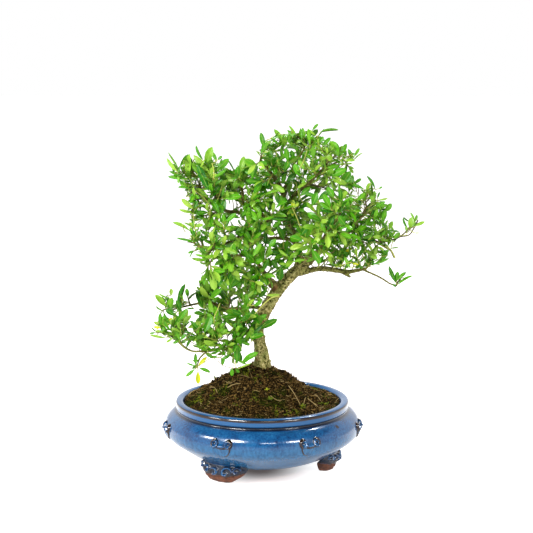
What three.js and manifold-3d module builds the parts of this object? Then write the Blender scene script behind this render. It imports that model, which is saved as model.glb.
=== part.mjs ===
// Japanese holly bonsai in a round glazed pot on three feet, in millimetres, +Z up.
// The origin is the middle of the tree and pot's box, on the surface that the feet stand on.
import * as THREE from "three";
import { mergeVertices } from "three/addons/utils/BufferGeometryUtils.js";
import Module from "manifold-3d";

const wasm = await Module();
wasm.setup();

const gap = 0.3; // between pieces that touch each other on the real tree
const upward = new THREE.Vector3(0, 0, 1);

// A closed geometry as a solid that can be joined and cut.
function solidOf(geometry) {
  const bare = geometry.clone();
  bare.deleteAttribute("normal");
  bare.deleteAttribute("uv");
  const merged = mergeVertices(bare, 1e-4);
  return new wasm.Manifold(
    new wasm.Mesh({
      numProp: 3,
      vertProperties: merged.attributes.position.array,
      triVerts: new Uint32Array(merged.index.array),
    }),
  );
}

// A solid's triangles as a geometry for a mesh.
function geometryOf(solid) {
  const { vertProperties, triVerts } = solid.getMesh();
  const geometry = new THREE.BufferGeometry();
  geometry.setAttribute("position", new THREE.BufferAttribute(vertProperties, 3));
  geometry.setIndex(new THREE.BufferAttribute(triVerts, 1));
  geometry.computeVertexNormals();
  return geometry;
}

// A solid through rings of points that turn anticlockwise round the way they are stacked.
function skin(rings) {
  const count = rings[0].length;
  const index = [];
  for (let ring = 0; ring < rings.length - 1; ring++) {
    for (let i = 0; i < count; i++) {
      const here = ring * count + i;
      const next = ring * count + ((i + 1) % count);
      index.push(here, next, next + count);
      index.push(here, next + count, here + count);
    }
  }
  const last = (rings.length - 1) * count;
  for (let i = 1; i < count - 1; i++) {
    index.push(0, i + 1, i);
    index.push(last, last + i, last + i + 1);
  }
  const geometry = new THREE.BufferGeometry().setFromPoints(rings.flat());
  geometry.setIndex(index);
  return solidOf(geometry);
}

// Random numbers from 0 to 1 that are the same on every run.
const randomModulus = 2147483647;
const randomFactor = 16807;
const seedFactor = 7654321;

function seededRandom(seed) {
  let state = (seed * seedFactor) % randomModulus;
  return () => {
    state = (state * randomFactor) % randomModulus;
    return state / randomModulus;
  };
}

// A point of the pot at an angle from the front, anticlockwise from above, at a radius and height.
function potPoint(angle, radius, height) {
  const x = radius * Math.sin(angle);
  const y = -radius * Math.cos(angle);
  return new THREE.Vector3(x, y, height);
}

// Pot: one fired body with a flat rim, a waisted neck and a rounded belly.
const potSegments = 28;
const holeRadius = 9;
const undersideHeight = 11.5;
const floorHeight = 18;
const lipHeight = 70.5;
const bellyProfile = [
  [54, 12.4],
  [70, 18.6],
  [79, 24.2],
  [88, 30],
  [96, 38],
  [97.6, 45],
  [95.8, 53],
  [86.5, 59.2],
];
const neckProfile = [
  [84.8, 60.6],
  [86.3, 62.5],
  [86.2, 67.8],
  [84.2, lipHeight],
  [79.5, lipHeight],
];
const innerProfile = [
  [77.6, 68],
  [78.4, 60],
  [87, 51],
  [86, 39],
  [72, 26],
  [42, floorHeight],
];

function potBody() {
  const start = [holeRadius, undersideHeight];
  const end = [holeRadius, floorHeight];
  const outline = [start, ...bellyProfile, ...neckProfile, ...innerProfile, end, start];
  const points = outline.map(([radius, height]) => new THREE.Vector2(radius, height));
  const geometry = new THREE.LatheGeometry(points, potSegments);
  geometry.rotateX(Math.PI / 2);
  return solidOf(geometry);
}

// The belly's outer radius at a height.
function bellyRadius(height) {
  let below = bellyProfile[0];
  for (const point of bellyProfile) {
    if (point[1] >= height) {
      const share = (height - below[1]) / (point[1] - below[1] || 1);
      return below[0] + share * (point[0] - below[0]);
    }
    below = point;
  }
  return below[0];
}

// Bosses: seven lobed reliefs round the belly, each with two curled lobes above a shield.
const bossCount = 7;
const firstBossAngle = -74.8;
const bossAngles = Array.from({ length: bossCount }, (_, i) => firstBossAngle + (360 * i) / bossCount);
const bossHalfWidth = 10.6;
const bossHalfHeight = 9.2;
const bossHeight = 43.5;
const bossRoot = { scale: 0.9, proud: -2.4 };
const bossEdge = { scale: 1, proud: 0.9 };
const bossTop = { scale: 0.6, proud: 2 };
const bossOutline = [
  [0, 0.55],
  [0.42, 0.98],
  [0.86, 0.8],
  [1, 0.35],
  [0.76, -0.25],
  [0, -1],
  [-0.76, -0.25],
  [-1, 0.35],
  [-0.86, 0.8],
  [-0.42, 0.98],
];

// One ring of a boss: its outline drawn in by a scale, at a distance outside the belly.
function bossRing(middle, { scale, proud }) {
  return bossOutline.map(([across, up]) => {
    const height = bossHeight + up * scale * bossHalfHeight;
    const radius = bellyRadius(height) + proud;
    const angle = middle - (across * scale * bossHalfWidth) / bellyRadius(bossHeight);
    return potPoint(angle, radius, height);
  });
}

function boss(degrees) {
  const middle = THREE.MathUtils.degToRad(degrees);
  return skin([bossRoot, bossEdge, bossTop].map((level) => bossRing(middle, level)));
}

// Feet: three scroll feet, widest where they grow out of the belly's underside.
const footAngles = [-37, 83, 203];
const footLevels = [
  { halfWidth: 15, inside: 60, outside: 72, low: 0, high: 0 },
  { halfWidth: 18, inside: 59, outside: 74.5, low: 3, high: 3 },
  { halfWidth: 22, inside: 59, outside: 76, low: 9, high: 9 },
  { halfWidth: 25, inside: 60, outside: 76.5, low: 14, high: 17 },
  { halfWidth: 24, inside: 62, outside: 78, low: 18, high: 26 },
];

const footArcShares = [0, 0.6, 1];
const footInnerShare = 0.8;

function footRing(middle, level) {
  const half = level.halfWidth;
  const outer = footArcShares.map((share) => share * half);
  const place = (across, outward, height) => {
    const radial = potPoint(middle, outward, height);
    return radial.add(potPoint(middle + Math.PI / 2, across, 0));
  };
  const onArc = (across) => {
    const outward = Math.sqrt(level.outside ** 2 - across ** 2);
    return place(across, outward, level.high);
  };
  return [
    ...outer.map((across) => onArc(across)),
    place(half * footInnerShare, level.inside, level.low),
    place(-half * footInnerShare, level.inside, level.low),
    ...outer.slice(1).reverse().map((across) => onArc(-across)),
  ];
}

function foot(degrees) {
  const middle = THREE.MathUtils.degToRad(degrees);
  return skin(footLevels.map((level) => footRing(middle, level)));
}

function makePot() {
  const pieces = [potBody(), ...bossAngles.map(boss), ...footAngles.map(foot)];
  return wasm.Manifold.union(pieces);
}

// Drain screen: a round plastic net over the pot's drain hole, under the soil.
const screenRadius = 17;
const screenSides = 16;
const screenThickness = 0.8;
const screenBottom = floorHeight + gap;
const screenCells = 3;
const screenPitch = 7.4;
const screenOpening = 5.8;

// An upright cylinder as a solid.
function disc(radius, thickness, bottom) {
  const geometry = new THREE.CylinderGeometry(radius, radius, thickness, screenSides);
  geometry.rotateX(Math.PI / 2);
  geometry.translate(0, 0, bottom + thickness / 2);
  return solidOf(geometry);
}

function makeScreen() {
  let screen = disc(screenRadius, screenThickness, screenBottom);
  const firstCell = (-(screenCells - 1) * screenPitch) / 2;
  for (let row = 0; row < screenCells; row++) {
    for (let column = 0; column < screenCells; column++) {
      const cell = new THREE.BoxGeometry(screenOpening, screenOpening, 3 * screenThickness);
      const x = firstCell + column * screenPitch;
      const y = firstCell + row * screenPitch;
      cell.translate(x, y, screenBottom + screenThickness / 2);
      screen = screen.subtract(solidOf(cell));
    }
  }
  return screen;
}

// Limbs: [x, y, z, radius] from inside the limb that carries each one out to its tip.
const limbs = {
  trunk: [
    [1, 0, 80, 6],
    [0, 0, 94, 8.6],
    [0, 0, 102, 9],
    [0, 0, 107, 7.7],
    [-1, -1, 120, 6.3],
    [-2, -2, 132, 6.2],
    [-3, -3, 142, 6],
    [0, -3, 151, 6.1],
    [4, -2, 160, 6.4],
    [10, 0, 170, 6],
    [17, 2, 180, 5.9],
    [25, 3, 190, 5.8],
    [34, 4, 198, 5.6],
    [42, 4, 206, 5],
    [49, 2, 213, 4.8],
    [55, 0, 217, 3.6],
  ],
  trunkStub: [
    [17, 2, 182, 4.4],
    [8, 1, 188, 4.2],
    [5, 0, 192, 3],
  ],
  right: [
    [50, 2, 213, 4],
    [60, -4, 222, 3],
    [67, -8, 228, 2.6],
    [78, -12, 235, 2.3],
    [87, -16, 243, 2],
    [95, -20, 254, 1.6],
    [101, -24, 266, 1.2],
  ],
  lowRight: [
    [30, 4, 194, 3.6],
    [54, 1, 200, 3],
    [67, -2, 200, 2.9],
    [82, -4, 198, 2.7],
    [88, -5, 199, 2.2],
    [95, -6, 201, 1.8],
    [102, -8, 203, 1.4],
  ],
  lowRightTip: [
    [98, -7, 202, 1.1],
    [115, -12, 195, 1],
    [125, -14, 189, 0.9],
    [131, -15, 187, 0.8],
  ],
  brokenStub: [
    [80, -4, 198, 1.8],
    [87, -6, 194, 1.1],
  ],
  leader: [
    [35, 4, 200, 4.2],
    [37, 6, 213, 3.7],
    [34, 8, 224, 3.4],
    [31, 10, 235, 3.1],
    [26, 10, 253, 2.8],
    [19, 6, 279, 2.2],
    [14, 3, 289, 1.8],
    [8, 0, 299, 1.4],
    [4, -2, 307, 1],
  ],
  upperRight: [
    [23, 9, 262, 2],
    [29, 4, 271, 2],
    [37, 0, 279, 1.9],
    [47, -4, 289, 1.6],
    [54, -6, 295, 1.4],
    [66, -8, 304, 1.2],
    [76, -10, 309, 0.9],
  ],
  top: [
    [19, 6, 277, 1.6],
    [27, 4, 289, 1.6],
    [33, 2, 299, 1.4],
    [37, 0, 313, 1.2],
    [41, -2, 320, 0.9],
  ],
  left: [
    [27, 10, 249, 2.4],
    [18, 4, 250, 2.4],
    [8, -2, 253, 2.2],
    [-4, -6, 257, 2],
    [-17, -10, 258, 1.9],
    [-36, -14, 261, 1.6],
    [-47, -16, 267, 1.4],
    [-55, -16, 275, 1.2],
    [-64, -12, 294, 0.9],
  ],
  leftUp: [
    [-15, -9, 258, 1.4],
    [-18, -12, 268, 1.3],
    [-19, -12, 281, 1.1],
    [-21, -11, 287, 0.9],
  ],
  arch: [
    [10, -1, 252, 1.7],
    [0, -14, 248, 1.7],
    [-10, -22, 244, 1.6],
    [-33, -32, 232, 1.3],
    [-45, -34, 229, 1.1],
    [-56, -34, 228, 0.9],
  ],
  lowLeft: [
    [-2, -2, 139, 2.4],
    [-14, -12, 140, 2.1],
    [-33, -22, 131, 1.6],
    [-46, -25, 125, 1.4],
    [-58, -26, 124, 1.2],
    [-71, -26, 125, 1.1],
    [-89, -25, 139, 0.9],
    [-94, -24, 143, 0.8],
  ],
  midLeft: [
    [3, -2, 158, 2.2],
    [-8, 6, 162, 2.1],
    [-31, 18, 157, 1.7],
    [-44, 22, 161, 1.5],
    [-57, 24, 163, 1.3],
    [-83, 22, 158, 1],
    [-92, 20, 155, 0.9],
  ],
  frontLeft: [
    [17, 2, 180, 2.2],
    [9, -8, 189, 2.1],
    [2, -16, 201, 1.9],
    [-6, -24, 212, 1.7],
    [-16, -30, 219, 1.5],
    [-37, -40, 220, 1.1],
    [-48, -42, 217, 0.9],
  ],
  backLeft: [
    [34, 8, 224, 2.2],
    [28, 20, 227, 2.1],
    [16, 32, 227, 1.9],
    [0, 42, 224, 1.6],
    [-18, 50, 217, 1.3],
    [-33, 54, 213, 1],
  ],
  frontRight: [
    [56, 0, 217, 2],
    [58, -18, 230, 1.9],
    [62, -32, 241, 1.6],
    [68, -42, 252, 1.2],
    [74, -48, 262, 0.9],
  ],
  backRight: [
    [51, 1, 214, 2.2],
    [59, 16, 220, 2],
    [69, 32, 227, 1.6],
    [81, 44, 236, 1.2],
    [94, 52, 242, 0.9],
  ],
  backTop: [
    [21, 8, 268, 1.7],
    [24, 20, 277, 1.7],
    [27, 32, 288, 1.4],
    [31, 42, 299, 1.1],
    [36, 46, 309, 0.9],
  ],
  frontTop: [
    [19, 6, 279, 1.5],
    [14, -10, 288, 1.5],
    [9, -22, 298, 1.3],
    [4, -32, 306, 1.1],
    [-1, -38, 313, 0.9],
  ],
  frontTopRight: [
    [37, 0, 279, 1.5],
    [43, -16, 285, 1.5],
    [50, -28, 294, 1.3],
    [57, -36, 303, 1.1],
    [65, -40, 313, 0.9],
  ],
  backLeftTop: [
    [-3, -6, 257, 1.6],
    [-10, 8, 263, 1.6],
    [-19, 22, 271, 1.4],
    [-30, 32, 280, 1.1],
    [-40, 38, 289, 0.9],
  ],
  farRight: [
    [78, -12, 235, 1.6],
    [101, -4, 233, 1.4],
    [115, 0, 227, 1.3],
    [126, 2, 220, 1.1],
    [130, 2, 212, 0.9],
  ],
  farRightTip: [
    [114, 0, 227, 1.1],
    [127, -2, 230, 1],
    [136, -2, 234, 0.9],
    [142, 0, 239, 0.8],
  ],
};
const trunkSides = 10;
const limbSides = 5;
const thinLimbSides = 4;
const thinLimbRadius = 2.3;
const limbSide = new THREE.Vector3(0.6, 0.7, 0.4);

// A pair of directions square to a stem's way at each of its points, turned as little as possible.
function squareTo(way, before) {
  const side = before.clone().addScaledVector(way, -before.dot(way)).normalize();
  const other = way.clone().cross(side);
  return [side, other];
}

// The way and two square directions at each point of a path, starting from a given side.
function pathFrames(path, start) {
  let side = start;
  return path.map((_, index) => {
    const before = path[Math.max(index - 1, 0)];
    const after = path[Math.min(index + 1, path.length - 1)];
    const way = after.clone().sub(before).normalize();
    const [first, second] = squareTo(way, side);
    side = first;
    return { way, first, second };
  });
}

// Rings round a path of points, with a radius for each and an optional uneven outline.
function stemRings(path, radii, sides, start, uneven = () => 1) {
  return pathFrames(path, start).map(({ first, second }, index) => {
    return Array.from({ length: sides }, (_, step) => {
      const angle = (2 * Math.PI * step) / sides;
      const radius = radii[index] * uneven(angle, index);
      const ringPoint = path[index].clone().addScaledVector(first, radius * Math.cos(angle));
      return ringPoint.addScaledVector(second, radius * Math.sin(angle));
    });
  });
}

const limbPath = (name) => limbs[name].map(([x, y, z]) => new THREE.Vector3(x, y, z));

// The trunk's ridges run up it and turn slowly: three deep ones and five shallow ones.
const deepRidge = 0.07;
const shallowRidge = 0.04;
const ridgeTwist = 0.8;

function barkRidges(angle, index) {
  const deep = deepRidge * Math.sin(3 * angle + ridgeTwist * index);
  const shallow = shallowRidge * Math.sin(5 * angle - index);
  return 1 + deep + shallow;
}

function limbSolid(name, grow) {
  const path = limbPath(name);
  const radii = limbs[name].map(([, , , radius]) => radius + grow);
  const isTrunk = name === "trunk";
  const isThin = limbs[name][0][3] < thinLimbRadius;
  const sides = isTrunk ? trunkSides : isThin ? thinLimbSides : limbSides;
  return skin(stemRings(path, radii, sides, limbSide, isTrunk ? barkRidges : undefined));
}

// The trunk with all its limbs, grown by a margin for cutting what meets it.
function makeTrunk(grow) {
  const solids = Object.keys(limbs).map((name) => limbSolid(name, grow));
  return wasm.Manifold.union(solids);
}

// Soil: fills the pot and rises in a mound to the foot of the trunk.
const soilSegments = 14;
const soilRim = 68.4;
const soilEdge = 77.2;
const soilWallGap = 0.5;
const moundHeight = 36;
const moundReach = 76;
const moundSteeper = 9; // how much shorter the mound's right side is, and its left side longer
const moundFullness = 0.8;
const unevenHeight = 1.4;
const evenWidth = 12; // round the trunk and along the pot's wall the soil lies even
const soilWall = innerProfile.slice(1).reverse();
const moundRadii = [soilEdge, 70, 60, 50, 40, 30, 20, 12];

function moundTop(x, y) {
  const distance = Math.hypot(x, y);
  const reach = moundReach - (moundSteeper * x) / (distance || 1);
  const slope = 0.5 + 0.5 * Math.cos(Math.PI * Math.min(distance / reach, 1));
  const uneven = Math.sin(0.31 * x + 1) * Math.sin(0.27 * y + 2);
  const fromTrunk = Math.min(distance / evenWidth, 1);
  const fromWall = Math.min((soilEdge - distance) / evenWidth, 1);
  return soilRim + moundHeight * slope ** moundFullness + unevenHeight * uneven * fromTrunk * fromWall;
}

function soilRing(radius, heightAt) {
  return Array.from({ length: soilSegments }, (_, step) => {
    const angle = (2 * Math.PI * step) / soilSegments;
    const x = radius * Math.cos(angle);
    const y = radius * Math.sin(angle);
    return new THREE.Vector3(x, y, heightAt(x, y));
  });
}

function makeSoil(trunk) {
  const wall = soilWall.map(([radius, height]) => {
    return soilRing(radius - soilWallGap, () => height + gap);
  });
  const top = moundRadii.map((radius) => soilRing(radius, moundTop));
  const recess = disc(screenRadius + gap, screenThickness + 3 * gap, floorHeight);
  return skin([...wall, ...top]).subtract(recess).subtract(trunk);
}

// Sprays: the limb that carries each and the share of its length where, the leaves' length,
// and how far its twigs reach with their last leaves. Later twigs fork off the first.
const sprays = [
  ["left", 1, 14, [[-80, -14, 307], [-72, -2, 313]]],
  ["left", 0.86, 16, [[-58, -26, 321], [-48, -12, 317]]],
  ["left", 0.72, 16, [[-46, -34, 301], [-33, -34, 278]]],
  ["left", 0.9, 13, [[-82, -24, 286], [-79, -8, 270]]],
  ["left", 0.62, 13, [[-80, -20, 251], [-60, -34, 262]]],
  ["backLeftTop", 1, 15, [[-58, 52, 298], [-74, 40, 287], [-47, 58, 273]]],
  ["backLeftTop", 0.5, 15, [[-22, 40, 297], [-34, 30, 294]]],
  ["leftUp", 0.6, 16, [[-20, -6, 308], [-7, -14, 302]]],
  ["leftUp", 1, 15, [[-29, -14, 304], [-39, -6, 288]]],
  ["leader", 1, 15, [[0, -6, 332], [14, -4, 336], [-5, 10, 318]]],
  ["frontTop", 1, 15, [[-10, -52, 306], [0, -46, 321]]],
  ["frontTop", 0.6, 15, [[13, -48, 316], [-9, -44, 283]]],
  ["top", 1, 13, [[39, -4, 338], [54, -10, 340], [25, 4, 338]]],
  ["backTop", 1, 14, [[30, 60, 323], [48, 52, 318]]],
  ["backTop", 0.65, 14, [[6, 58, 303], [0, 50, 282]]],
  ["upperRight", 0.78, 14, [[69, -6, 332], [59, 8, 318], [51, 20, 299]]],
  ["upperRight", 1, 13, [[94, -8, 319], [87, -14, 299]]],
  ["frontTopRight", 1, 14, [[77, -54, 326], [60, -50, 327]]],
  ["frontTopRight", 0.65, 15, [[45, -52, 314], [79, -50, 291]]],
  ["upperRight", 0.45, 15, [[85, 12, 274], [55, 24, 277]]],
  ["right", 1, 13, [[103, -22, 291], [113, -30, 283]]],
  ["right", 0.9, 14, [[123, -26, 268], [122, -32, 250]]],
  ["right", 0.65, 14, [[90, -36, 270], [100, -34, 243]]],
  ["backRight", 1, 15, [[118, 60, 256], [87, 62, 262], [114, 56, 226]]],
  ["frontRight", 1, 14, [[75, -60, 287], [91, -62, 266]]],
  ["frontRight", 0.6, 15, [[50, -58, 268], [84, -62, 240]]],
  ["farRight", 0.62, 13, [[129, -6, 235], [124, 4, 255]]],
  ["farRightTip", 1, 11, [[152, 0, 253], [158, -6, 249]]],
  ["lowRight", 1, 14, [[122, -14, 215], [107, -22, 223]]],
  ["lowRight", 0.55, 14, [[74, -24, 222], [87, -22, 212]]],
  ["lowRightTip", 1, 14, [[140, -16, 201], [124, -18, 205]]],
  ["leader", 0.3, 16, [[56, -24, 249], [44, -30, 234]]],
  ["leader", 0.5, 15, [[29, -22, 270], [42, -32, 268]]],
  ["leader", 0.15, 15, [[14, -26, 216], [29, -34, 217]]],
  ["backLeft", 0.5, 15, [[-6, 60, 242], [-23, 64, 229]]],
  ["backLeft", 1, 15, [[-53, 66, 212], [-41, 60, 192], [-29, 64, 175]]],
  ["backLeft", 0.25, 15, [[36, 46, 248], [24, 50, 212]]],
  ["arch", 1, 15, [[-79, -34, 237], [-64, -40, 226]]],
  ["arch", 0.8, 15, [[-62, -56, 214], [-46, -56, 246]]],
  ["arch", 0.4, 15, [[-25, -46, 254], [-29, -48, 227]]],
  ["frontLeft", 1, 17, [[-58, -46, 200], [-46, -52, 189]]],
  ["frontLeft", 0.75, 16, [[-32, -54, 196], [-38, -58, 218]]],
  ["frontLeft", 0.35, 15, [[-4, -44, 202], [-13, -46, 231], [18, -26, 199]]],
  ["midLeft", 0.2, 13, [[-6, -14, 187], [-16, 20, 174]]],
  ["midLeft", 0.42, 16, [[-30, 18, 187], [-45, 50, 163]]],
  ["midLeft", 0.62, 18, [[-56, 16, 191], [-65, 30, 175]]],
  ["midLeft", 0.8, 17, [[-78, 20, 181], [-85, 36, 163]]],
  ["midLeft", 1, 14, [[-102, 18, 175], [-105, 26, 153]]],
  ["lowLeft", 1, 14, [[-109, -22, 141], [-101, -30, 156]]],
  ["lowLeft", 0.82, 14, [[-86, -28, 163], [-74, -20, 166]]],
  ["lowLeft", 0.6, 15, [[-68, -34, 155], [-52, -34, 159], [-41, -38, 147]]],
  ["lowLeft", 0.56, 15, [[-72, -36, 98]]],
  ["lowLeft", 0.3, 14, [[-29, -36, 161], [-23, -34, 129], [-30, -24, 104]]],
  ["lowLeft", 0.08, 17, [[7, -30, 151], [-4, -28, 139]]],
  ["midLeft", 0.5, 15, [[-68, 46, 139], [-35, 40, 136]]],
];
const forkShare = 0.3;
const shortestTwig = 10;
const leafShares = [0.4, 0.62, 0.86, 0.98];
const lastLeafShare = 0.95;
const twigSides = 3;
const twigRadii = [1.1, 0.9, 0.65];
const forkRadii = [0.45, 0.85, 0.65];
const bowShare = 0.3;
const bendTries = [1, -1, 1.8, -1.8, 0];
const faceTurn = (2 * Math.PI) / twigSides;
const turnTries = [0, 1, 2, 0.2, 1.2, 2.2, -0.2, 0.8, 1.8].map((turn) => turn * faceTurn);
const smallestLeaf = 0.86; // shares of the spray's leaf length
const leafSpread = 0.34;
const leafRoll = 0.8;
const rootPitch = 1.2; // a leaf's angle from its twig, less further out, and least at the end
const pitchDrop = 0.5;
const endPitch = 0.15;
const facingUp = 0.7;

// The point a share of the way along a path.
function pointAlong(path, share) {
  const lengths = path.slice(1).map((point, index) => point.distanceTo(path[index]));
  let left = share * lengths.reduce((sum, length) => sum + length, 0);
  for (let index = 0; index < lengths.length; index++) {
    if (left <= lengths[index]) {
      return path[index].clone().lerp(path[index + 1], left / lengths[index]);
    }
    left -= lengths[index];
  }
  return path[path.length - 1].clone();
}

// A twig's path from its root to its end, bowed to one side.
function twigPath(root, end, bow) {
  const middle = root.clone().lerp(end, 0.5).add(bow);
  return [root, middle, end];
}

function twigSolid(path, side, radii, grow) {
  const grown = radii.map((radius) => radius + grow);
  return skin(stemRings(path, grown, twigSides, side));
}

// One twig's chance values, all drawn before anything is tried: its bow, and for each leaf
// the face of the twig that it grows from, its size and its roll.
function drawTwig(random) {
  const bow = new THREE.Vector3(random() - 0.5, random() - 0.5, random() - 0.5);
  const start = Math.floor(twigSides * random()) + 0.5;
  const leaves = leafShares.map((share, index) => ({
    share,
    turn: (start + index) * faceTurn,
    size: smallestLeaf + leafSpread * random(),
    roll: leafRoll * (random() - 0.5),
  }));
  return { bow, leaves };
}

// A leaf's seat, its way out, the way its upper face looks, and its length.
function leafFrame(twig, leaf, turn, length) {
  const seat = pointAlong(twig.path, leaf.share);
  const { way, first, second } = pathFrames(twig.path, twig.bow)[1];
  const angle = leaf.turn + turn;
  const out = first.clone().multiplyScalar(Math.cos(angle));
  out.addScaledVector(second, Math.sin(angle));
  const pitch = leaf.share < lastLeafShare ? rootPitch - pitchDrop * leaf.share : endPitch;
  const along = way.clone().multiplyScalar(Math.cos(pitch));
  along.addScaledVector(out, Math.sin(pitch)).normalize();
  const face = way.clone().multiplyScalar(Math.sin(pitch));
  face.addScaledVector(out, -Math.cos(pitch)).addScaledVector(upward, facingUp);
  const [normal] = squareTo(along, face);
  normal.applyAxisAngle(along, leaf.roll);
  return { seat, along, normal, across: along.clone().cross(normal), length };
}

// Leaf blade: a pointed oval, flat below, with its midrib raised above; its foot lies in the twig.
const bladeRim = [
  [0, 0],
  [0.25, 0.82],
  [0.64, 0.96],
  [1, 0],
  [0.64, -0.96],
  [0.25, -0.82],
];
const bladeHalfWidth = 0.225;
const bladeThickness = 0.95;
const midribShare = 0.28;
const bladeDroop = 0.09;
const bladeSink = 0.1;
const leafGap = 0.1; // kept between a spray's own leaves, past the share of them near the twig
const nearTwig = 0.3;

function blade(frame, grow, from) {
  const { seat, along, normal, across, length } = frame;
  const place = (share, width, height) => {
    const reach = from + (1 - from) * share;
    const point = seat.clone().addScaledVector(along, reach * (length + grow) - bladeSink);
    point.addScaledVector(across, width * (bladeHalfWidth * length + grow));
    const droop = bladeDroop * length * reach * reach;
    return point.addScaledVector(normal, height - droop);
  };
  const rim = bladeRim.map(([share, width]) => place(share, width, -grow));
  const midrib = place(midribShare, 0, bladeThickness + grow);
  const upper = rim.flatMap((_, i) => [i, (i + 1) % rim.length, rim.length]);
  const lower = [0, 5, 1, 5, 4, 1, 4, 2, 1, 4, 3, 2];
  const geometry = new THREE.BufferGeometry().setFromPoints([...rim, midrib]);
  geometry.setIndex([...upper, ...lower]);
  return solidOf(geometry);
}

// Whether two solids' boxes overlap, tried before the slower cut.
function boxesMeet(a, b) {
  return [0, 1, 2].every((axis) => a.min[axis] < b.max[axis] && b.min[axis] < a.max[axis]);
}

function meetsAny(solid, others) {
  const box = solid.boundingBox();
  return others.some(
    (other) => boxesMeet(box, other.box) && !solid.intersect(other.solid).isEmpty(),
  );
}

const boxed = (solid) => ({ solid, box: solid.boundingBox() });

// Lays every spray's twigs, each bowed clear of the twigs laid before it.
function layTwigs() {
  const laid = [];
  return sprays.map(([limb, share, leafLength, ends], number) => {
    const random = seededRandom(number + 1);
    const limbRoot = pointAlong(limbPath(limb), share);
    const twigs = [];
    ends.forEach((end, order) => {
      const root = order ? pointAlong(twigs[0].path, forkShare) : limbRoot;
      const radii = order ? forkRadii : twigRadii;
      const reach = new THREE.Vector3(...end);
      const twigLength = Math.max(root.distanceTo(reach) - leafLength, shortestTwig);
      const tip = root.clone().addScaledVector(reach.sub(root).normalize(), twigLength);
      const { bow, leaves } = drawTwig(random);
      if (order) leaves.shift();
      const span = bowShare * root.distanceTo(tip);
      const paths = bendTries.map((bend) => {
        return twigPath(root, tip, bow.clone().multiplyScalar(bend * span));
      });
      const free = paths.find((path) => !meetsAny(twigSolid(path, bow, radii, gap), laid));
      const path = free || paths[0];
      twigs.push({ path, bow, leaves, solid: twigSolid(path, bow, radii, 0) });
    });
    laid.push(...twigs.map((twig) => boxed(twig.solid)));
    return { leafLength, twigs };
  });
}

// Puts a spray's leaves on its twigs, each turned until it is clear of everything around it.
function leavesOf(spray, others) {
  const own = [];
  const leaves = [];
  spray.twigs.forEach((twig) => {
    twig.leaves.forEach((leaf) => {
      const length = spray.leafLength * leaf.size;
      for (const turn of turnTries) {
        const frame = leafFrame(twig, leaf, turn, length);
        if (meetsAny(blade(frame, gap, 0), others)) continue;
        if (meetsAny(blade(frame, leafGap, nearTwig), own)) continue;
        const solid = blade(frame, 0, 0);
        own.push(boxed(solid));
        leaves.push(solid);
        return;
      }
    });
  });
  return leaves;
}

// The largest body of a solid: a scrap that a cut leaves behind is dropped.
function mainBody(solid) {
  const bodies = solid.decompose();
  return bodies.reduce((most, body) => (body.volume() > most.volume() ? body : most));
}

function makeSprays(pot, soil, trunkMargin) {
  const laid = layTwigs();
  const fixed = [pot, soil, trunkMargin].map(boxed);
  const done = [];
  return laid.map((spray, number) => {
    const laterTwigs = laid.slice(number + 1).flatMap((later) => later.twigs);
    const waiting = laterTwigs.map((twig) => boxed(twig.solid));
    const leaves = leavesOf(spray, [...fixed, ...done, ...waiting]);
    const grown = wasm.Manifold.union([...spray.twigs.map((twig) => twig.solid), ...leaves]);
    const solid = mainBody(grown.subtract(trunkMargin));
    done.push(boxed(solid));
    return solid;
  });
}

// Materials, in the colours of the photographed tree and pot.
const glaze = new THREE.MeshStandardMaterial({ color: 0x5b7da3, roughness: 0.25 });
const plastic = new THREE.MeshStandardMaterial({ color: 0x2b2f2b, roughness: 0.6 });
const earth = new THREE.MeshStandardMaterial({ color: 0x45371b, roughness: 1 });
const bark = new THREE.MeshStandardMaterial({ color: 0x837a4f, roughness: 0.9 });
const leaf = new THREE.MeshStandardMaterial({ color: 0x5c9a35, roughness: 0.45 });

const pot = makePot();
const trunk = makeTrunk(0);
const trunkMargin = makeTrunk(gap);
const soil = makeSoil(trunkMargin);
const group = new THREE.Group();
group.name = "japanese_holly_bonsai";
const standing = new THREE.Group();
group.add(standing);

function addNode(name, solid, material) {
  const mesh = new THREE.Mesh(geometryOf(solid), material);
  mesh.name = name;
  standing.add(mesh);
}

addNode("pot", pot, glaze);
addNode("drain_screen", makeScreen(), plastic);
addNode("soil", soil, earth);
addNode("trunk", trunk, bark);
makeSprays(pot, soil, trunkMargin).forEach((solid, index) => {
  addNode(`spray_${String(index + 1).padStart(2, "0")}`, solid, leaf);
});

const box = new THREE.Box3().setFromObject(standing);
const middle = box.getCenter(new THREE.Vector3());
standing.position.set(-middle.x, -middle.y, -box.min.z);

export default group;
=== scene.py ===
# A Japanese holly bonsai in a round blue pot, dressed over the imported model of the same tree.
# Sizes are in millimetres from the pot's own axis and the surface it stands on, until a piece is placed.
import math
import random

import bmesh
import bpy
from mathutils import Matrix, Quaternion, Vector, kdtree, noise


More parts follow.
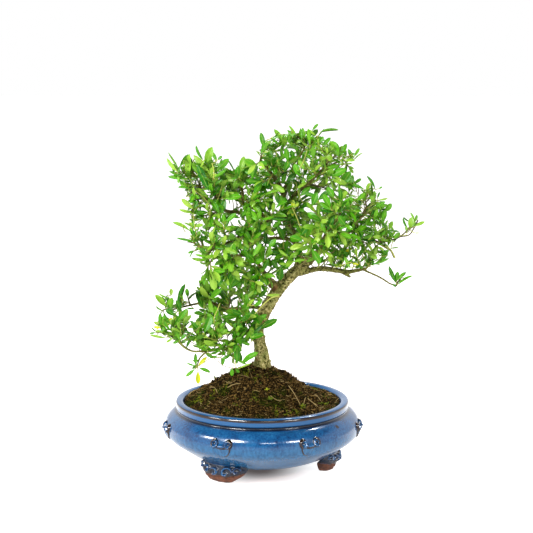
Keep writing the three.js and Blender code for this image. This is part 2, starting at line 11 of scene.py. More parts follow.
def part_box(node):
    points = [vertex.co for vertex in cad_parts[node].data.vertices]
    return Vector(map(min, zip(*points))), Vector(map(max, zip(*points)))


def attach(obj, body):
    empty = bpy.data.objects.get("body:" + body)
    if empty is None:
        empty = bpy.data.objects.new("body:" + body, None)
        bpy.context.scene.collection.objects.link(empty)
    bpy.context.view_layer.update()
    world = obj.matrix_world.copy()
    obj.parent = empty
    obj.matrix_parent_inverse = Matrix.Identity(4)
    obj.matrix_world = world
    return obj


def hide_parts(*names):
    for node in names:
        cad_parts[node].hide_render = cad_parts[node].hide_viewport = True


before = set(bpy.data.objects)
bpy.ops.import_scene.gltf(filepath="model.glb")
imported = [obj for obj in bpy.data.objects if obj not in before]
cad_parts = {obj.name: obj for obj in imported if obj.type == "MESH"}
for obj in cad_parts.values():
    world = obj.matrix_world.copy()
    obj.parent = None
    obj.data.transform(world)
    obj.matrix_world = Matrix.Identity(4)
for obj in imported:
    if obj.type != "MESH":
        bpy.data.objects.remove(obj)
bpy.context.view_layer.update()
scene = bpy.context.scene

# Viewpoint: a long lens a little above the tree, looking down on it as the photograph does.
# It stands 1.6 m from the pot's axis, a few millimetres to the right of it.
screen_low, screen_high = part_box("drain_screen")
pot_axis = Vector(((screen_low.x + screen_high.x) / 2, (screen_low.y + screen_high.y) / 2, 0))
camera_place = (0.0043, -1.6, 0.469)
camera_pitch = math.radians(9.42)
camera_data = bpy.data.cameras.new("camera")
camera_data.sensor_width = 36
camera_data.lens = 111.1
camera = bpy.data.objects.new("camera", camera_data)
camera.location = pot_axis + Vector(camera_place)
camera.rotation_euler = (math.pi / 2 - camera_pitch, 0, 0)
scene.collection.objects.link(camera)
scene.camera = camera

# Studio: a white table that fades into a white backdrop, soft boxes round the front, the strongest on the
# left, and two overhead. The room is dim high up and in front, which keeps the glaze deep.
room_bright = (0.9, 0.9, 0.92)
room_dim = (0.1, 0.105, 0.11)
white = (1, 1, 1)
black = (0, 0, 0)
scene.view_settings.view_transform = "Standard"


def set_inputs(tree, node, inputs):
    """Links or sets a node's inputs, which are given by their names or numbers."""
    for name, value in inputs.items():
        if isinstance(value, bpy.types.NodeSocket):
            tree.links.new(value, node.inputs[name])
        else:
            node.inputs[name].default_value = value


def add_node(tree, kind, inputs=None, **settings):
    """A shader node with its settings and its inputs."""
    made = tree.nodes.new(kind)
    for name, value in settings.items():
        setattr(made, name, value)
    set_inputs(tree, made, inputs or {})
    return made


def add_ramp(tree, factor, *stops):
    """A colour ramp over the given stops of place and colour."""
    ramp = add_node(tree, "ShaderNodeValToRGB", {"Fac": factor})
    elements = ramp.color_ramp.elements
    for place, _ in stops[2:]:
        elements.new(place)
    for element, (place, colour) in zip(elements, stops):
        element.position = place
        element.color = (*colour, 1)
    return ramp.outputs["Color"]


def calculate(tree, operation, *values):
    """One step of arithmetic on numbers or on other nodes' outputs."""
    return add_node(tree, "ShaderNodeMath", dict(enumerate(values)), operation=operation).outputs[0]


def remapped(tree, value, low, high, ends=(0, 1), kind="SMOOTHSTEP"):
    """Runs from one end to the other while a value runs from low to high."""
    inputs = {"Value": value, "From Min": low, "From Max": high, "To Min": ends[0], "To Max": ends[1]}
    return add_node(tree, "ShaderNodeMapRange", inputs, interpolation_type=kind).outputs["Result"]


def mix_value(tree, factor, first, second):
    inputs = {0: factor, 2: first, 3: second}
    return add_node(tree, "ShaderNodeMix", inputs, data_type="FLOAT").outputs[0]


def mix_colour(tree, factor, first, second):
    ends = [end if isinstance(end, bpy.types.NodeSocket) else (*end, 1) for end in (first, second)]
    inputs = {0: factor, 6: ends[0], 7: ends[1]}
    return add_node(tree, "ShaderNodeMix", inputs, data_type="RGBA").outputs[2]


def object_place(tree):
    return add_node(tree, "ShaderNodeTexCoord").outputs["Object"]


def distance_from(tree, place, middle):
    inputs = {0: place, 1: middle}
    return add_node(tree, "ShaderNodeVectorMath", inputs, operation="DISTANCE").outputs["Value"]


def new_material(name):
    """A material with its node tree and its shader."""
    made = bpy.data.materials.new(name)
    made.use_nodes = True
    return made, made.node_tree, made.node_tree.nodes["Principled BSDF"]


world = bpy.data.worlds.new("room")
world.use_nodes = True
scene.world = world
room = world.node_tree
direction = add_node(room, "ShaderNodeTexCoord").outputs["Generated"]
direction = add_node(room, "ShaderNodeSeparateXYZ", {"Vector": direction}).outputs
level = calculate(room, "MULTIPLY_ADD", direction["Y"], -0.32, direction["Z"])
level = calculate(room, "MULTIPLY_ADD", calculate(room, "ABSOLUTE", direction["X"]), -0.3, level)
room_colour = add_ramp(room, level, (0, room_bright), (0.16, room_bright), (0.42, room_dim))
seen = add_node(room, "ShaderNodeLightPath").outputs["Is Camera Ray"]
set_inputs(room, room.nodes["Background"], {"Color": mix_colour(room, seen, room_colour, white)})

# each soft box: its name, width, depth, power and place, and the height on the pot's axis that it faces
soft_boxes = [
    ("left_box", 0.5, 0.3, 24, (-0.75, -1.05, 0.98), 0.15),
    ("side_box", 0.35, 0.2, 9, (-1.3, -0.5, 0.95), 0.1),
    ("front_box", 0.4, 0.1, 3, (0.2, -1.45, 0.85), 0.1),
    ("right_box", 0.45, 0.16, 11, (0.95, -1.1, 0.85), 0.15),
    ("top_left_box", 0.3, 0.09, 9, (-0.3, 0.75, 1.3), 0.1),
    ("top_right_box", 0.5, 0.09, 13, (0.43, 0.75, 1.3), 0.1),
]
for name, width, depth, power, place, aim in soft_boxes:
    light = bpy.data.lights.new(name, "AREA")
    light.shape = "RECTANGLE"
    light.size = width
    light.size_y = depth
    light.energy = power
    lamp = bpy.data.objects.new(name, light)
    lamp.location = pot_axis + Vector(place)
    toward = Vector((0, 0, aim)) - Vector(place)
    lamp.rotation_euler = toward.to_track_quat("-Z", "Y").to_euler()
    scene.collection.objects.link(lamp)

# the table glows white but for a painted shadow under the pot, where its glow fades and the camera sees it
# tinted warm; its mirror image in the glaze is dimmed
floor_half = 6
floor_grey = (0.46, 0.45, 0.45)
shadow_middle = pot_axis + Vector((-0.004, -0.011, 0))
shadow_from = 0.008
shadow_to = 0.066
shadow_glow = 0.06
shadow_warm = (0.76, 0.36, 0.25)
shadow_pale = (0.48, 0.42, 0.4)
dimmed_from = 0.1
dimmed_to = -0.06
dimmed_share = 0.88
floor_mesh = bpy.data.meshes.new("floor")
floor_shape = bmesh.new()
bmesh.ops.create_grid(floor_shape, x_segments=1, y_segments=1, size=floor_half)
floor_shape.to_mesh(floor_mesh)
floor_shape.free()
white_table, tree, shader = new_material("white_table")
place = object_place(tree)
rays = add_node(tree, "ShaderNodeLightPath").outputs
# painted shadow: the glow falls low near the pot, and for camera rays the colour there turns warm
glow = remapped(tree, distance_from(tree, place, shadow_middle), shadow_from, shadow_to, (shadow_glow, 1))
shadow_tint = mix_colour(tree, glow, shadow_warm, shadow_pale)
# painted shade in the reflection: in front, the table's glow is dimmed for rays the glaze reflects, which
# keeps the glaze deep
back_and_forth = add_node(tree, "ShaderNodeSeparateXYZ", {"Vector": place}).outputs["Y"]
in_front = remapped(tree, back_and_forth, dimmed_from, dimmed_to, (0, dimmed_share), "LINEAR")
dimmed = calculate(tree, "MULTIPLY", in_front, rays["Is Glossy Ray"])
set_inputs(tree, shader, {
    "Base Color": mix_colour(tree, rays["Is Camera Ray"], floor_grey, shadow_tint),
    "Roughness": 0.6,
    "Specular IOR Level": 0.2,
    "Emission Color": mix_colour(tree, dimmed, white, black),
    "Emission Strength": glow,
})
floor_mesh.materials.append(white_table)
floor = bpy.data.objects.new("floor", floor_mesh)
scene.collection.objects.link(floor)

# Pot: thrown stoneware with a rolled rim, a short waisted neck and a full belly, dipped in blue glaze.
# The glaze breaks brown on sharp edges, pools dark in the groove, and stops short of the feet's soles.
to_frame = Matrix.Translation(pot_axis) @ Matrix.Scale(0.001, 4)


def place_piece(name, shape, materials, replaced=()):
    """Turns a bmesh in millimetres into a smooth piece in the frame, which rides on the bonsai."""
    mesh = bpy.data.meshes.new(name)
    shape.transform(to_frame)
    shape.to_mesh(mesh)
    shape.free()
    mesh.polygons.foreach_set("use_smooth", [True] * len(mesh.polygons))
    for material in materials:
        mesh.materials.append(material)
    piece = bpy.data.objects.new(name, mesh)
    scene.collection.objects.link(piece)
    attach(piece, "root")
    if replaced:
        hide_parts(*replaced)
    return piece


def smooth_step(low, high, value):
    share = min(max((value - low) / (high - low), 0), 1)
    return share * share * (3 - 2 * share)


def hump(value, middle, width):
    return math.exp(-(((value - middle) / width) ** 2))


def curve_through(points, step):
    """Points along a smooth curve through the given ones, about a step apart."""
    ends = [points[0], *points, points[-1]]
    smooth = []
    for before, start, end, after in zip(ends, ends[1:], ends[2:], ends[3:]):
        count = max(int((end - start).length / step), 1)
        for index in range(count):
            t = index / count
            bend = (2 * before - 5 * start + 4 * end - after) * t * t
            bend = bend + (3 * start - before - 3 * end + after) * t * t * t
            smooth.append(start + 0.5 * ((end - before) * t + bend))
    return [*smooth, points[-1].copy()]


outer_profile = [
    (9, 11.5), (30, 11.5), (50, 12), (60, 13.9), (70, 18.2), (79, 23.8), (86.6, 28.7), (92.3, 33),
    (96, 37.4), (97.4, 41.5), (97.6, 45.5), (96.6, 50), (94.2, 54), (90.5, 57.4), (87, 59.4), (85.3, 60),
    (84.7, 60.8), (85.1, 61.6), (85.9, 62.6), (86.2, 64.4), (86, 66), (86.2, 67), (86.3, 68), (85.9, 69.2),
    (84.8, 70.1), (82.4, 70.5), (80, 70.2),
]
inner_profile = [
    (78.4, 69), (77.8, 67), (78, 62), (80.5, 56.5), (86, 50), (86, 39), (72, 26), (42, 18), (9, 18),
]
pot_turns = 192
profile_step = 1.1
rim_edge_height = 68.2
groove_height = 60.9
neck_radius = 84.5
neck_foot = 55
mask_names = ("thin", "thick", "bare", "pooled")


def spin_round(shape, geometry, turns):
    """Turns a line once round the pot's axis, and welds its end to its start."""
    bmesh.ops.spin(
        shape, geom=geometry, cent=(0, 0, 0), axis=(0, 0, 1), angle=2 * math.pi, steps=turns, use_merge=True,
    )


pot = bmesh.new()
thin, thick, *_ = [pot.verts.layers.float.new(name) for name in mask_names]
profile = [Vector((radius, 0, height)) for radius, height in outer_profile + inner_profile]
profile_verts = [pot.verts.new(point) for point in curve_through(profile, profile_step)]
profile_edges = [pot.edges.new(pair) for pair in zip(profile_verts, profile_verts[1:] + profile_verts[:1])]
for vert in profile_verts:
    radius, height = vert.co.x, vert.co.z
    if radius > neck_radius and height > neck_foot:
        vert[thin] = hump(height, rim_edge_height, 1.6)
        vert[thick] = hump(height, groove_height, 2.1)
spin_round(pot, profile_verts + profile_edges, pot_turns)
bmesh.ops.recalc_face_normals(pot, faces=pot.faces)


def around_pot(angle, radius, height):
    """A point at an angle from the front, to the right as seen from there."""
    return Vector((radius * math.sin(angle), -radius * math.cos(angle), height))


def belly_radius(height):
    for (low_radius, low), (high_radius, high) in zip(outer_profile, outer_profile[1:]):
        if low <= height <= high:
            return low_radius + (high_radius - low_radius) * (height - low) / max(high - low, 0.01)
    return outer_profile[0][0]


def relief_patch(columns, rows, surface, back):
    """A modelled patch: a grid shaped by a surface rule of two shares from -1 to 1, with its edge
    carried into the pot and closed. The rule gives a place and the glaze's masks.
    Another rule gives the radius, at a height, that the edge is carried in to."""
    patch = bmesh.new()
    masks = [patch.verts.layers.float.new(name) for name in mask_names]
    bmesh.ops.create_grid(patch, x_segments=columns, y_segments=rows, size=1)
    for vert in patch.verts:
        place, *values = surface(vert.co.x, vert.co.y)
        vert.co = place
        for mask, value in zip(masks, values):
            vert[mask] = value
    border = [edge for edge in patch.edges if edge.is_boundary]
    walls = bmesh.ops.extrude_edge_only(patch, edges=border)["geom"]
    inner = [item for item in walls if isinstance(item, bmesh.types.BMVert)]
    for vert in inner:
        level = vert.co.z
        vert.co = vert.co.to_2d().normalized().to_3d() * back(level)
        vert.co.z = level
    rim = [edge for edge in patch.edges if edge.is_boundary]
    bmesh.ops.edgeloop_fill(patch, edges=rim)
    bmesh.ops.recalc_face_normals(patch, faces=patch.faces)
    mesh = bpy.data.meshes.new("patch")
    patch.to_mesh(mesh)
    patch.free()
    pot.from_mesh(mesh)
    bpy.data.meshes.remove(mesh)


boss_count = 7
first_boss = -74.8
boss_half_width = 11
boss_half_height = 10.2
boss_height = 43.4
boss_sink = 3
boss_grid = (44, 40)
ear_across = 0.66
ear_up = 0.44
patch_reach = 1.1


def boss_surface(middle):
    """Two curled ears with a dipped bridge between them, over a shield with a thin raised edge."""
    def surface(x, y):
        across, up = patch_reach * abs(x), patch_reach * y
        ear = math.hypot((across - ear_across) / 0.9, (up - ear_up) / 1.05)
        shield = math.hypot(across / 0.84, min(up - 0.1, 0) / 1.02)
        below = smooth_step(0.5, 0.2, up)
        pad = max(smooth_step(0.5, 0.3, ear), smooth_step(1.16, 0.9, shield) * smooth_step(0.55, 0.3, up))
        curl = hump(ear, 0.28, 0.12)
        pit = hump(ear, 0, 0.15)
        edge = hump(shield, 0.9, 0.07) * below
        bridge = hump(up, 0.2 + 0.5 * across * across, 0.15) * smooth_step(0.62, 0.45, across)
        nose = hump(across, 0.1, 0.1) * smooth_step(-0.4, -0.1, up) * smooth_step(0.3, 0.05, up)
        rise = -0.7 + 1.5 * pad + 1.9 * curl - 0.6 * pit + 0.8 * edge + 1.5 * bridge + 0.7 * nose
        outer = smooth_step(-0.1, 0.3, across - 0.62 + 0.5 * (up - ear_up))
        brown = 1.7 * hump(ear, 0.4, 0.17) * outer + 0.74 * hump(shield, 1.0, 0.12) * below
        brown = min(brown + 1.1 * hump(up, 0.02, 0.1) * smooth_step(0.45, 0.3, across), 1)
        under_bridge = 0.7 * hump(up, 0.04, 0.09) * smooth_step(0.5, 0.3, across)
        dark = min(1.1 * pit + hump(ear, 0.42, 0.07) + under_bridge, 1)
        height = boss_height + up * boss_half_height
        angle = middle + patch_reach * x * boss_half_width / belly_radius(boss_height)
        ears = smooth_step(-0.1, 0.25, up)
        return around_pot(angle, belly_radius(height) + rise, height), brown, 0.8 * dark, 0, ears
    return surface


for index in range(boss_count):
    middle = math.radians(first_boss + 360 * index / boss_count)
    relief_patch(*boss_grid, boss_surface(middle), lambda height: belly_radius(height) - boss_sink)

# each level of a foot: its height, half width and the radius of its outer face
foot_angles = [-37, 83, 203]
foot_levels = [
    (0, 10, 67), (0.8, 12.5, 70), (2.4, 16, 72.4), (5, 20, 74), (8, 24, 75), (11, 27, 75.4), (15, 29, 75),
    (18, 29, 73.8), (23, 26, 72),
]
foot_top = 23
foot_inside = 59.5
foot_lean = 3.5
foot_grid = (84, 48)
glaze_line = 9.6
# the scrolls of a foot: how far along it, its height, its reach and the way it turns
foot_scrolls = [
    (9.5, 12.6, 6.6, -1), (-3.5, 11.8, 5.4, 1), (-13.5, 13.2, 4.8, 1), (19.5, 14.6, 4.6, -1),
    (-22.5, 15.4, 4, 1),
]


def foot_level(height):
    for (low, *from_sizes), (high, *to_sizes) in zip(foot_levels, foot_levels[1:]):
        if height <= high:
            share = (height - low) / (high - low)
            return [a + (b - a) * share for a, b in zip(from_sizes, to_sizes)]
    return foot_levels[-1][1:]


def scroll(across, up, middle_x, middle_y, reach, turn):
    """A raised spiral about a middle: its ridge's height from 0 to 1."""
    away = math.hypot(across - middle_x, up - middle_y) / reach
    angle = math.atan2(up - middle_y, (across - middle_x) * turn)
    coil = (away * 0.95 - angle / (2 * math.pi)) % 1
    return hump(coil, 0.5, 0.17) * smooth_step(1.12, 0.85, away)


def foot_surface(middle):
    """A crescent foot: scrolls under thick glaze, with a scalloped edge over the bare clay."""
    def surface(x, y):
        height = foot_top * (y + 1) / 2
        half, outside = foot_level(height)
        along = x * half
        across = along + foot_lean * smooth_step(2, 13, height)
        shoulder = outside - 2.6 * abs(x) ** 5 - 0.004 * along * along
        line = glaze_line + 2.6 * smooth_step(10, 24, along) + 1.5 * smooth_step(-14, -24, along)
        line -= 1.5 * max([hump(along, place, 0.75 * reach) for place, _, reach, _ in foot_scrolls])
        glazed = smooth_step(line - 0.3, line + 0.3, height)
        curls = max(scroll(along, height, *spiral) for spiral in foot_scrolls)
        ledge = hump(height, 19, 1)
        creases = 0.3 * (1 - glazed) * (math.sin(0.8 * along + height) + math.sin(1.7 * height - 0.3 * along))
        rise = 1.4 * glazed + 3.2 * curls * glazed + 0.9 * ledge + creases
        edge = hump(height, line + 0.6, 0.7)
        flank = hump(curls, 0.35, 0.2)
        brown = min(glazed * (1.3 * flank + 0.9 * edge), 1)
        dark = glazed * hump(curls, 0.08, 0.16) * smooth_step(21, 18.5, height)
        angle = middle + across / outside
        return around_pot(angle, shoulder + rise, height), brown, 0.9 * dark, 1 - glazed, glazed
    return surface


def foot_back(height):
    """The foot's sole reaches in to its flat; higher up its back lies inside the pot's wall."""
    return foot_inside + (foot_level(height)[1] - 3 - foot_inside) * smooth_step(9, foot_top, height)


for degrees in foot_angles:
    relief_patch(*foot_grid, foot_surface(math.radians(degrees)), foot_back)

deep_blue = (0.0015, 0.023, 0.082)
clear_blue = (0.0035, 0.062, 0.178)
milky_blue = (0.016, 0.12, 0.265)
lower_deep = (0.005, 0.056, 0.145)
lower_milky_and_reflection = (0.018, 0.125, 0.27)
neck_blue = (0.002, 0.075, 0.21)
glaze_brown = (0.012, 0.004, 0.003)
pool_navy = (0.003, 0.007, 0.02)
clay_red = (0.175, 0.056, 0.024)
clay_dark = (0.05, 0.017, 0.009)
paler_below = (0.0405, 0.0475)
neck_above = (0.0605, 0.062)
streak_stretch = (1, 1, 0.35)
run_stretch = (1, 1, 0.12)
border_grain = 0.4
chip_place = around_pot(math.radians(52), 92.2, 56) * 0.001 + pot_axis
chip_reach = (0.0026, 0.0014)


def noise_over(tree, place, scale, detail, rough=0.5):
    inputs = {"Vector": place, "Scale": scale, "Detail": detail, "Roughness": rough}
    return add_node(tree, "ShaderNodeTexNoise", inputs).outputs["Fac"]


def stretched(tree, place, scale):
    return add_node(tree, "ShaderNodeMapping", {"Vector": place, "Scale": scale}).outputs["Vector"]


def painted(tree, name):
    """A value that is painted on the mesh under a name."""
    return add_node(tree, "ShaderNodeAttribute", attribute_name=name).outputs["Fac"]


def broken_mask(tree, name, low, high, grain):
    """A painted mask whose border is broken up by a grain."""
    shifted = calculate(tree, "MULTIPLY_ADD", grain, border_grain, painted(tree, name))
    return remapped(tree, shifted, low, high)


def bumped(tree, height, strength, distance, **settings):
    inputs = {"Height": height, "Strength": strength, "Distance": distance}
    return add_node(tree, "ShaderNodeBump", inputs, **settings).outputs["Normal"]


def group_with(name, inputs, outputs):
    """An empty shader node group with its number sockets, and the nodes for its two ends."""
    made = bpy.data.node_groups.new(name, "ShaderNodeTree")
    for way, sockets in (("INPUT", inputs), ("OUTPUT", outputs)):
        for socket in sockets:
            made.interface.new_socket(socket, in_out=way, socket_type="NodeSocketFloat")
    return made, made.nodes.new("NodeGroupInput").outputs, made.nodes.new("NodeGroupOutput")


# fine grain and broad clouds over a surface, which break up the colour of every natural material here
grain_and_clouds, asked, result = group_with("grain_and_clouds", ["Fine", "Broad"], ["Grain", "Clouds"])
place = object_place(grain_and_clouds)
set_inputs(grain_and_clouds, result, {
    "Grain": noise_over(grain_and_clouds, place, asked["Fine"], 5, 0.74),
    "Clouds": noise_over(grain_and_clouds, place, asked["Broad"], 4, 0.6),
})


def add_grain(tree, fine, broad):
    """The fine grain and the broad clouds at two scales, in patches to the metre."""
    made = add_node(tree, "ShaderNodeGroup", node_tree=grain_and_clouds)
    set_inputs(tree, made, {"Fine": fine, "Broad": broad})
    return made.outputs["Grain"], made.outputs["Clouds"]


glazed_stoneware, tree, shader = new_material("glazed_stoneware")
place = object_place(tree)
height = add_node(tree, "ShaderNodeSeparateXYZ", {"Vector": place}).outputs["Z"]
mottle = noise_over(tree, place, 520, 3, 0.7)
clouds = noise_over(tree, stretched(tree, place, streak_stretch), 60, 4, 0.6)
mixed = mix_value(tree, 0.55, clouds, mottle)
upper_blue = add_ramp(tree, mixed, (0.38, deep_blue), (0.5, clear_blue), (0.68, milky_blue))
# below the belly's widest part the glaze is paler and streaky: its own runs, and also a painted reflection of
# the white table
runs = mix_value(tree, 0.5, noise_over(tree, stretched(tree, place, run_stretch), 420, 3), mixed)
lower_blue = add_ramp(tree, runs, (0.4, lower_deep), (0.62, lower_milky_and_reflection))
upper = calculate(tree, "MAXIMUM", remapped(tree, height, *paler_below), painted(tree, "pooled"))
colour = mix_colour(tree, upper, lower_blue, upper_blue)
colour = mix_colour(tree, remapped(tree, height, *neck_above), colour, neck_blue)
colour = mix_colour(tree, broken_mask(tree, "thick", 0.5, 0.95, mottle), colour, pool_navy)
colour = mix_colour(tree, broken_mask(tree, "thin", 0.55, 0.85, mottle), colour, glaze_brown)
bare = broken_mask(tree, "bare", 0.55, 0.85, mottle)
clay_grain, clay_clouds = add_grain(tree, 300, 90)
clay = add_ramp(tree, mix_value(tree, 0.5, clay_grain, clay_clouds), (0.38, clay_dark), (0.6, clay_red))
colour = mix_colour(tree, bare, colour, clay)
chip = remapped(tree, distance_from(tree, place, chip_place), *chip_reach)
orange_peel = noise_over(tree, place, 140, 2)
set_inputs(tree, shader, {
    "Base Color": mix_colour(tree, chip, colour, glaze_brown),
    "Roughness": mix_value(tree, bare, 0.2, 0.85),
    "Coat Weight": mix_value(tree, bare, 0.65, 0.0),
    "Coat Roughness": 0.09,
    "Normal": bumped(tree, mix_value(tree, bare, orange_peel, clay_grain), 0.3, 0.0006),
})
place_piece("glazed_pot", pot, [glazed_stoneware], ["pot"])

# Drain screen: a disc of stiff black plastic net over the drain hole, under the soil.
# It is moulded in one piece, slightly matt, and lightly dusted by the soil.
net_black = (0.012, 0.014, 0.012)
dust_brown = (0.05, 0.035, 0.02)
net_plastic, tree, shader = new_material("net_plastic")
dust, _ = add_grain(tree, 300, 60)
set_inputs(tree, shader, {
    "Base Color": add_ramp(tree, dust, (0.45, net_black), (0.7, dust_brown)),
    "Roughness": mix_value(tree, dust, 0.35, 0.75),
})
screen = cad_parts["drain_screen"]
screen.data.materials.clear()
screen.data.materials.append(net_plastic)

# Soil: dark crumbly bonsai soil, mounded up to the foot of the trunk and full of fine roots.
# It is poured and pressed by hand, so its surface is lumpy, and it sits a little below the rim.
soil_rim = 68.4
soil_edge = 77.2
mound_height = 36
mound_reach = 76
mound_steeper = 9
mound_fullness = 0.8
settled_width = 12
loose_width = 6
soil_clearance = 0.6
soil_lift = 0.4
soil_turns = 330
soil_rings = 110


def mound_top(x, y):
    """The mound's height at a place, with its lumps and crumbs and the hollow behind the trunk."""
    distance = math.hypot(x, y)
    reach = mound_reach - mound_steeper * x / max(distance, 1)
    slope = 0.5 + 0.5 * math.cos(math.pi * min(distance / reach, 1))
    settled = min(distance / settled_width, 1) * min(max((soil_edge - distance) / settled_width, 0), 1)
    uneven = 1.4 * math.sin(0.31 * x + 1) * math.sin(0.27 * y + 2) * settled
    lumps = 1.5 * noise.fractal(Vector((x, y, 0)) * 0.16, 0.9, 2.1, 4)
    clods = 1.05 * noise.fractal(Vector((x, y, 9)) * 0.5, 0.7, 2.3, 4)
    loose = smooth_step(0, loose_width, soil_edge - distance)
    hollow = 3 * hump(x, 18, 13) * hump(y, 6, 26)
    rise = mound_height * slope ** mound_fullness - hollow
    return soil_rim + rise + uneven + (lumps + clods) * (0.35 + 0.65 * loose)


soil = bmesh.new()
top_line = [Vector((soil_edge * index / soil_rings, 0, soil_rim)) for index in range(1, soil_rings + 1)]
wall_profile = inner_profile[2:8]
wall_line = [Vector((radius - soil_clearance, 0, height + soil_lift)) for radius, height in wall_profile]
bottom_line = [Vector((1, 0, inner_profile[-1][1] + soil_lift))]
soil_line = [soil.verts.new(point) for point in [*top_line, *wall_line, *bottom_line]]
soil_edges = [soil.edges.new(pair) for pair in zip(soil_line, soil_line[1:])]
spin_round(soil, soil_line + soil_edges, soil_turns)
bmesh.ops.holes_fill(soil, edges=[edge for edge in soil.edges if edge.is_boundary])
for vert in soil.verts:
    if abs(vert.co.z - soil_rim) < 0.01:
        vert.co.z = mound_top(vert.co.x, vert.co.y)
bmesh.ops.recalc_face_normals(soil, faces=soil.faces)

# the near-black in the soil's colours is dark peat and also painted shade of the gaps between crumbs
peat_and_gap_shade = (0.004, 0.003, 0.001)
peat_brown = (0.038, 0.021, 0.005)
fibre_tan = (0.2, 0.12, 0.036)
husk_tan = (0.33, 0.21, 0.07)
moss_dark = (0.022, 0.03, 0.002)
moss_olive = (0.09, 0.11, 0.01)
bonsai_soil, tree, shader = new_material("bonsai_soil")
grit, drift = add_grain(tree, 620, 50)
earth = add_ramp(tree, grit, (0.46, peat_and_gap_shade), (0.54, peat_brown), (0.61, fibre_tan), (0.7, husk_tan))
mossy = add_ramp(tree, grit, (0.44, peat_and_gap_shade), (0.54, moss_dark), (0.68, moss_olive))
set_inputs(tree, shader, {
    "Base Color": mix_colour(tree, remapped(tree, drift, 0.5, 0.62), earth, mossy),
    "Roughness": 1.0,
    "Specular IOR Level": 0.02,
    "Normal": bumped(tree, grit, 1.0, 0.0022),
})
place_piece("mounded_soil", soil, [bonsai_soil], ["soil"])

# Crumbs and litter: clods and grains of the same soil, rotted root fibres, bits of bark and dry stems.
# They lie loose on the mound, each pressed a little into it.
crumb_count = 1500
smallest_crumb = 0.35
largest_crumb = 1.4
fibre_count = 1500
crumb_edge = 73.5
fibre_edge = 75
stem_thickness = 0.42
hair_thickness = 0.2
# clods: each one's place on the mound and its size
clod_spots = [
    (18, -3, 2.6), (23, -5, 3), (28, -4, 2.3), (21, -9, 2.4), (31, -8, 2), (14, -5, 2.2), (26, -10, 1.8),
]
# dry stems and pale roots: the places on the mound they pass, with how far above it
dry_stems = [
    [(26, -24, 0.4), (31, -33, 1.6), (37, -42, 0.3)],
    [(44, -22, 0.3), (42, -31, 1.4), (40, -40, 0.2)],
    [(49, -8, 0.4), (54, -13, 2), (58, -18, 0.3)],
    [(45, -27, 0.4), (51, -31, 1.2), (57, -33, 0.4)],
    [(-14, -6, 0.4), (-13, -13, 1.2), (-10, -22, 0.3)],
    [(-34, -27, 0.3), (-28, -30, 1), (-21, -29, 0.3)],
    [(-52, -12, 0.4), (-47, -19, 1.5), (-44, -27, 0.3)],
    [(8, -44, 0.3), (15, -47, 1.2), (22, -45, 0.3)],
    [(-20, 34, 0.3), (-26, 42, 1.4), (-34, 46, 0.3)],
    [(30, 30, 0.3), (38, 33, 1.5), (46, 30, 0.3)],
    [(-35, -19, 0.4), (-31, -22, 0.9), (-26, -22, 0.4)],
    [(-74, 4, 0.6), (-70, 9, 2.6), (-63, 12, 0.6)],
]
root_hairs = [
    [(15, -2, 0.2), (24, -1, 3.4), (31, -4, 0.2)], [(17, 1, 0.2), (27, 3, 2.6), (36, 0, 0.2)],
    [(20, -6, 0.2), (29, -9, 2.4), (37, -9, 0.2)], [(12, 5, 0.2), (21, 8, 2.8), (30, 9, 0.2)],
    [(-50, -4, 0.2), (-57, -8, 2), (-62, -6, 0.2)], [(-46, -2, 0.2), (-53, -1, 2.4), (-60, 1, 0.2)],
    [(14, -8, 0.2), (22, -15, 1.6), (27, -21, 0.2)], [(30, -6, 0.2), (37, -4, 3), (43, -8, 0.2)],
    [(24, 2, 0.2), (33, 4, 3.6), (39, -2, 0.2)], [(-63, 3, 0.2), (-58, 6, 3.2), (-51, 4, 0.2)],
    [(-58, 8, 0.2), (-66, 9, 3), (-70, 3, 0.2)],
]


def on_mound(x, y, above=0.0):
    return Vector((x, y, mound_top(x, y) + above))


def spot_on_soil(chance, edge=crumb_edge):
    """A random place on the mound, even over its plan."""
    distance = edge * math.sqrt(chance.random())
    angle = 2 * math.pi * chance.random()
    return on_mound(distance * math.cos(angle), distance * math.sin(angle))


def add_copy(target, shape, matrix, tone):
    """Adds a moved copy of a small shape to a larger one, with its own tone from 0 to 1."""
    copy = shape.copy()
    copy.transform(matrix)
    layer = copy.verts.layers.float["tone"]
    for vert in copy.verts:
        vert[layer] = tone
    copy.to_mesh(scratch)
    copy.free()
    target.from_mesh(scratch)


def random_turn(chance):
    spin = Quaternion([chance.gauss(0, 1) for _ in range(4)])
    spin.normalize()
    return spin.to_matrix().to_4x4()


def square_to(direction, axis):
    """A direction with its part along an axis taken out, at unit length."""
    return (direction - axis * direction.dot(axis)).normalized()


def turned_to(across, along, up):
    """The turn that carries the three axes onto three directions."""
    return Matrix((across, along, up)).transposed().to_4x4()


def path_frames(path, side):
    """At each point of a path its way and two directions square to it, turned as little as possible."""
    frames = []
    for index in range(len(path)):
        way = path[min(index + 1, len(path) - 1)] - path[max(index - 1, 0)]
        way.normalize()
        side = square_to(side, way)
        frames.append((way, side, way.cross(side)))
    return frames


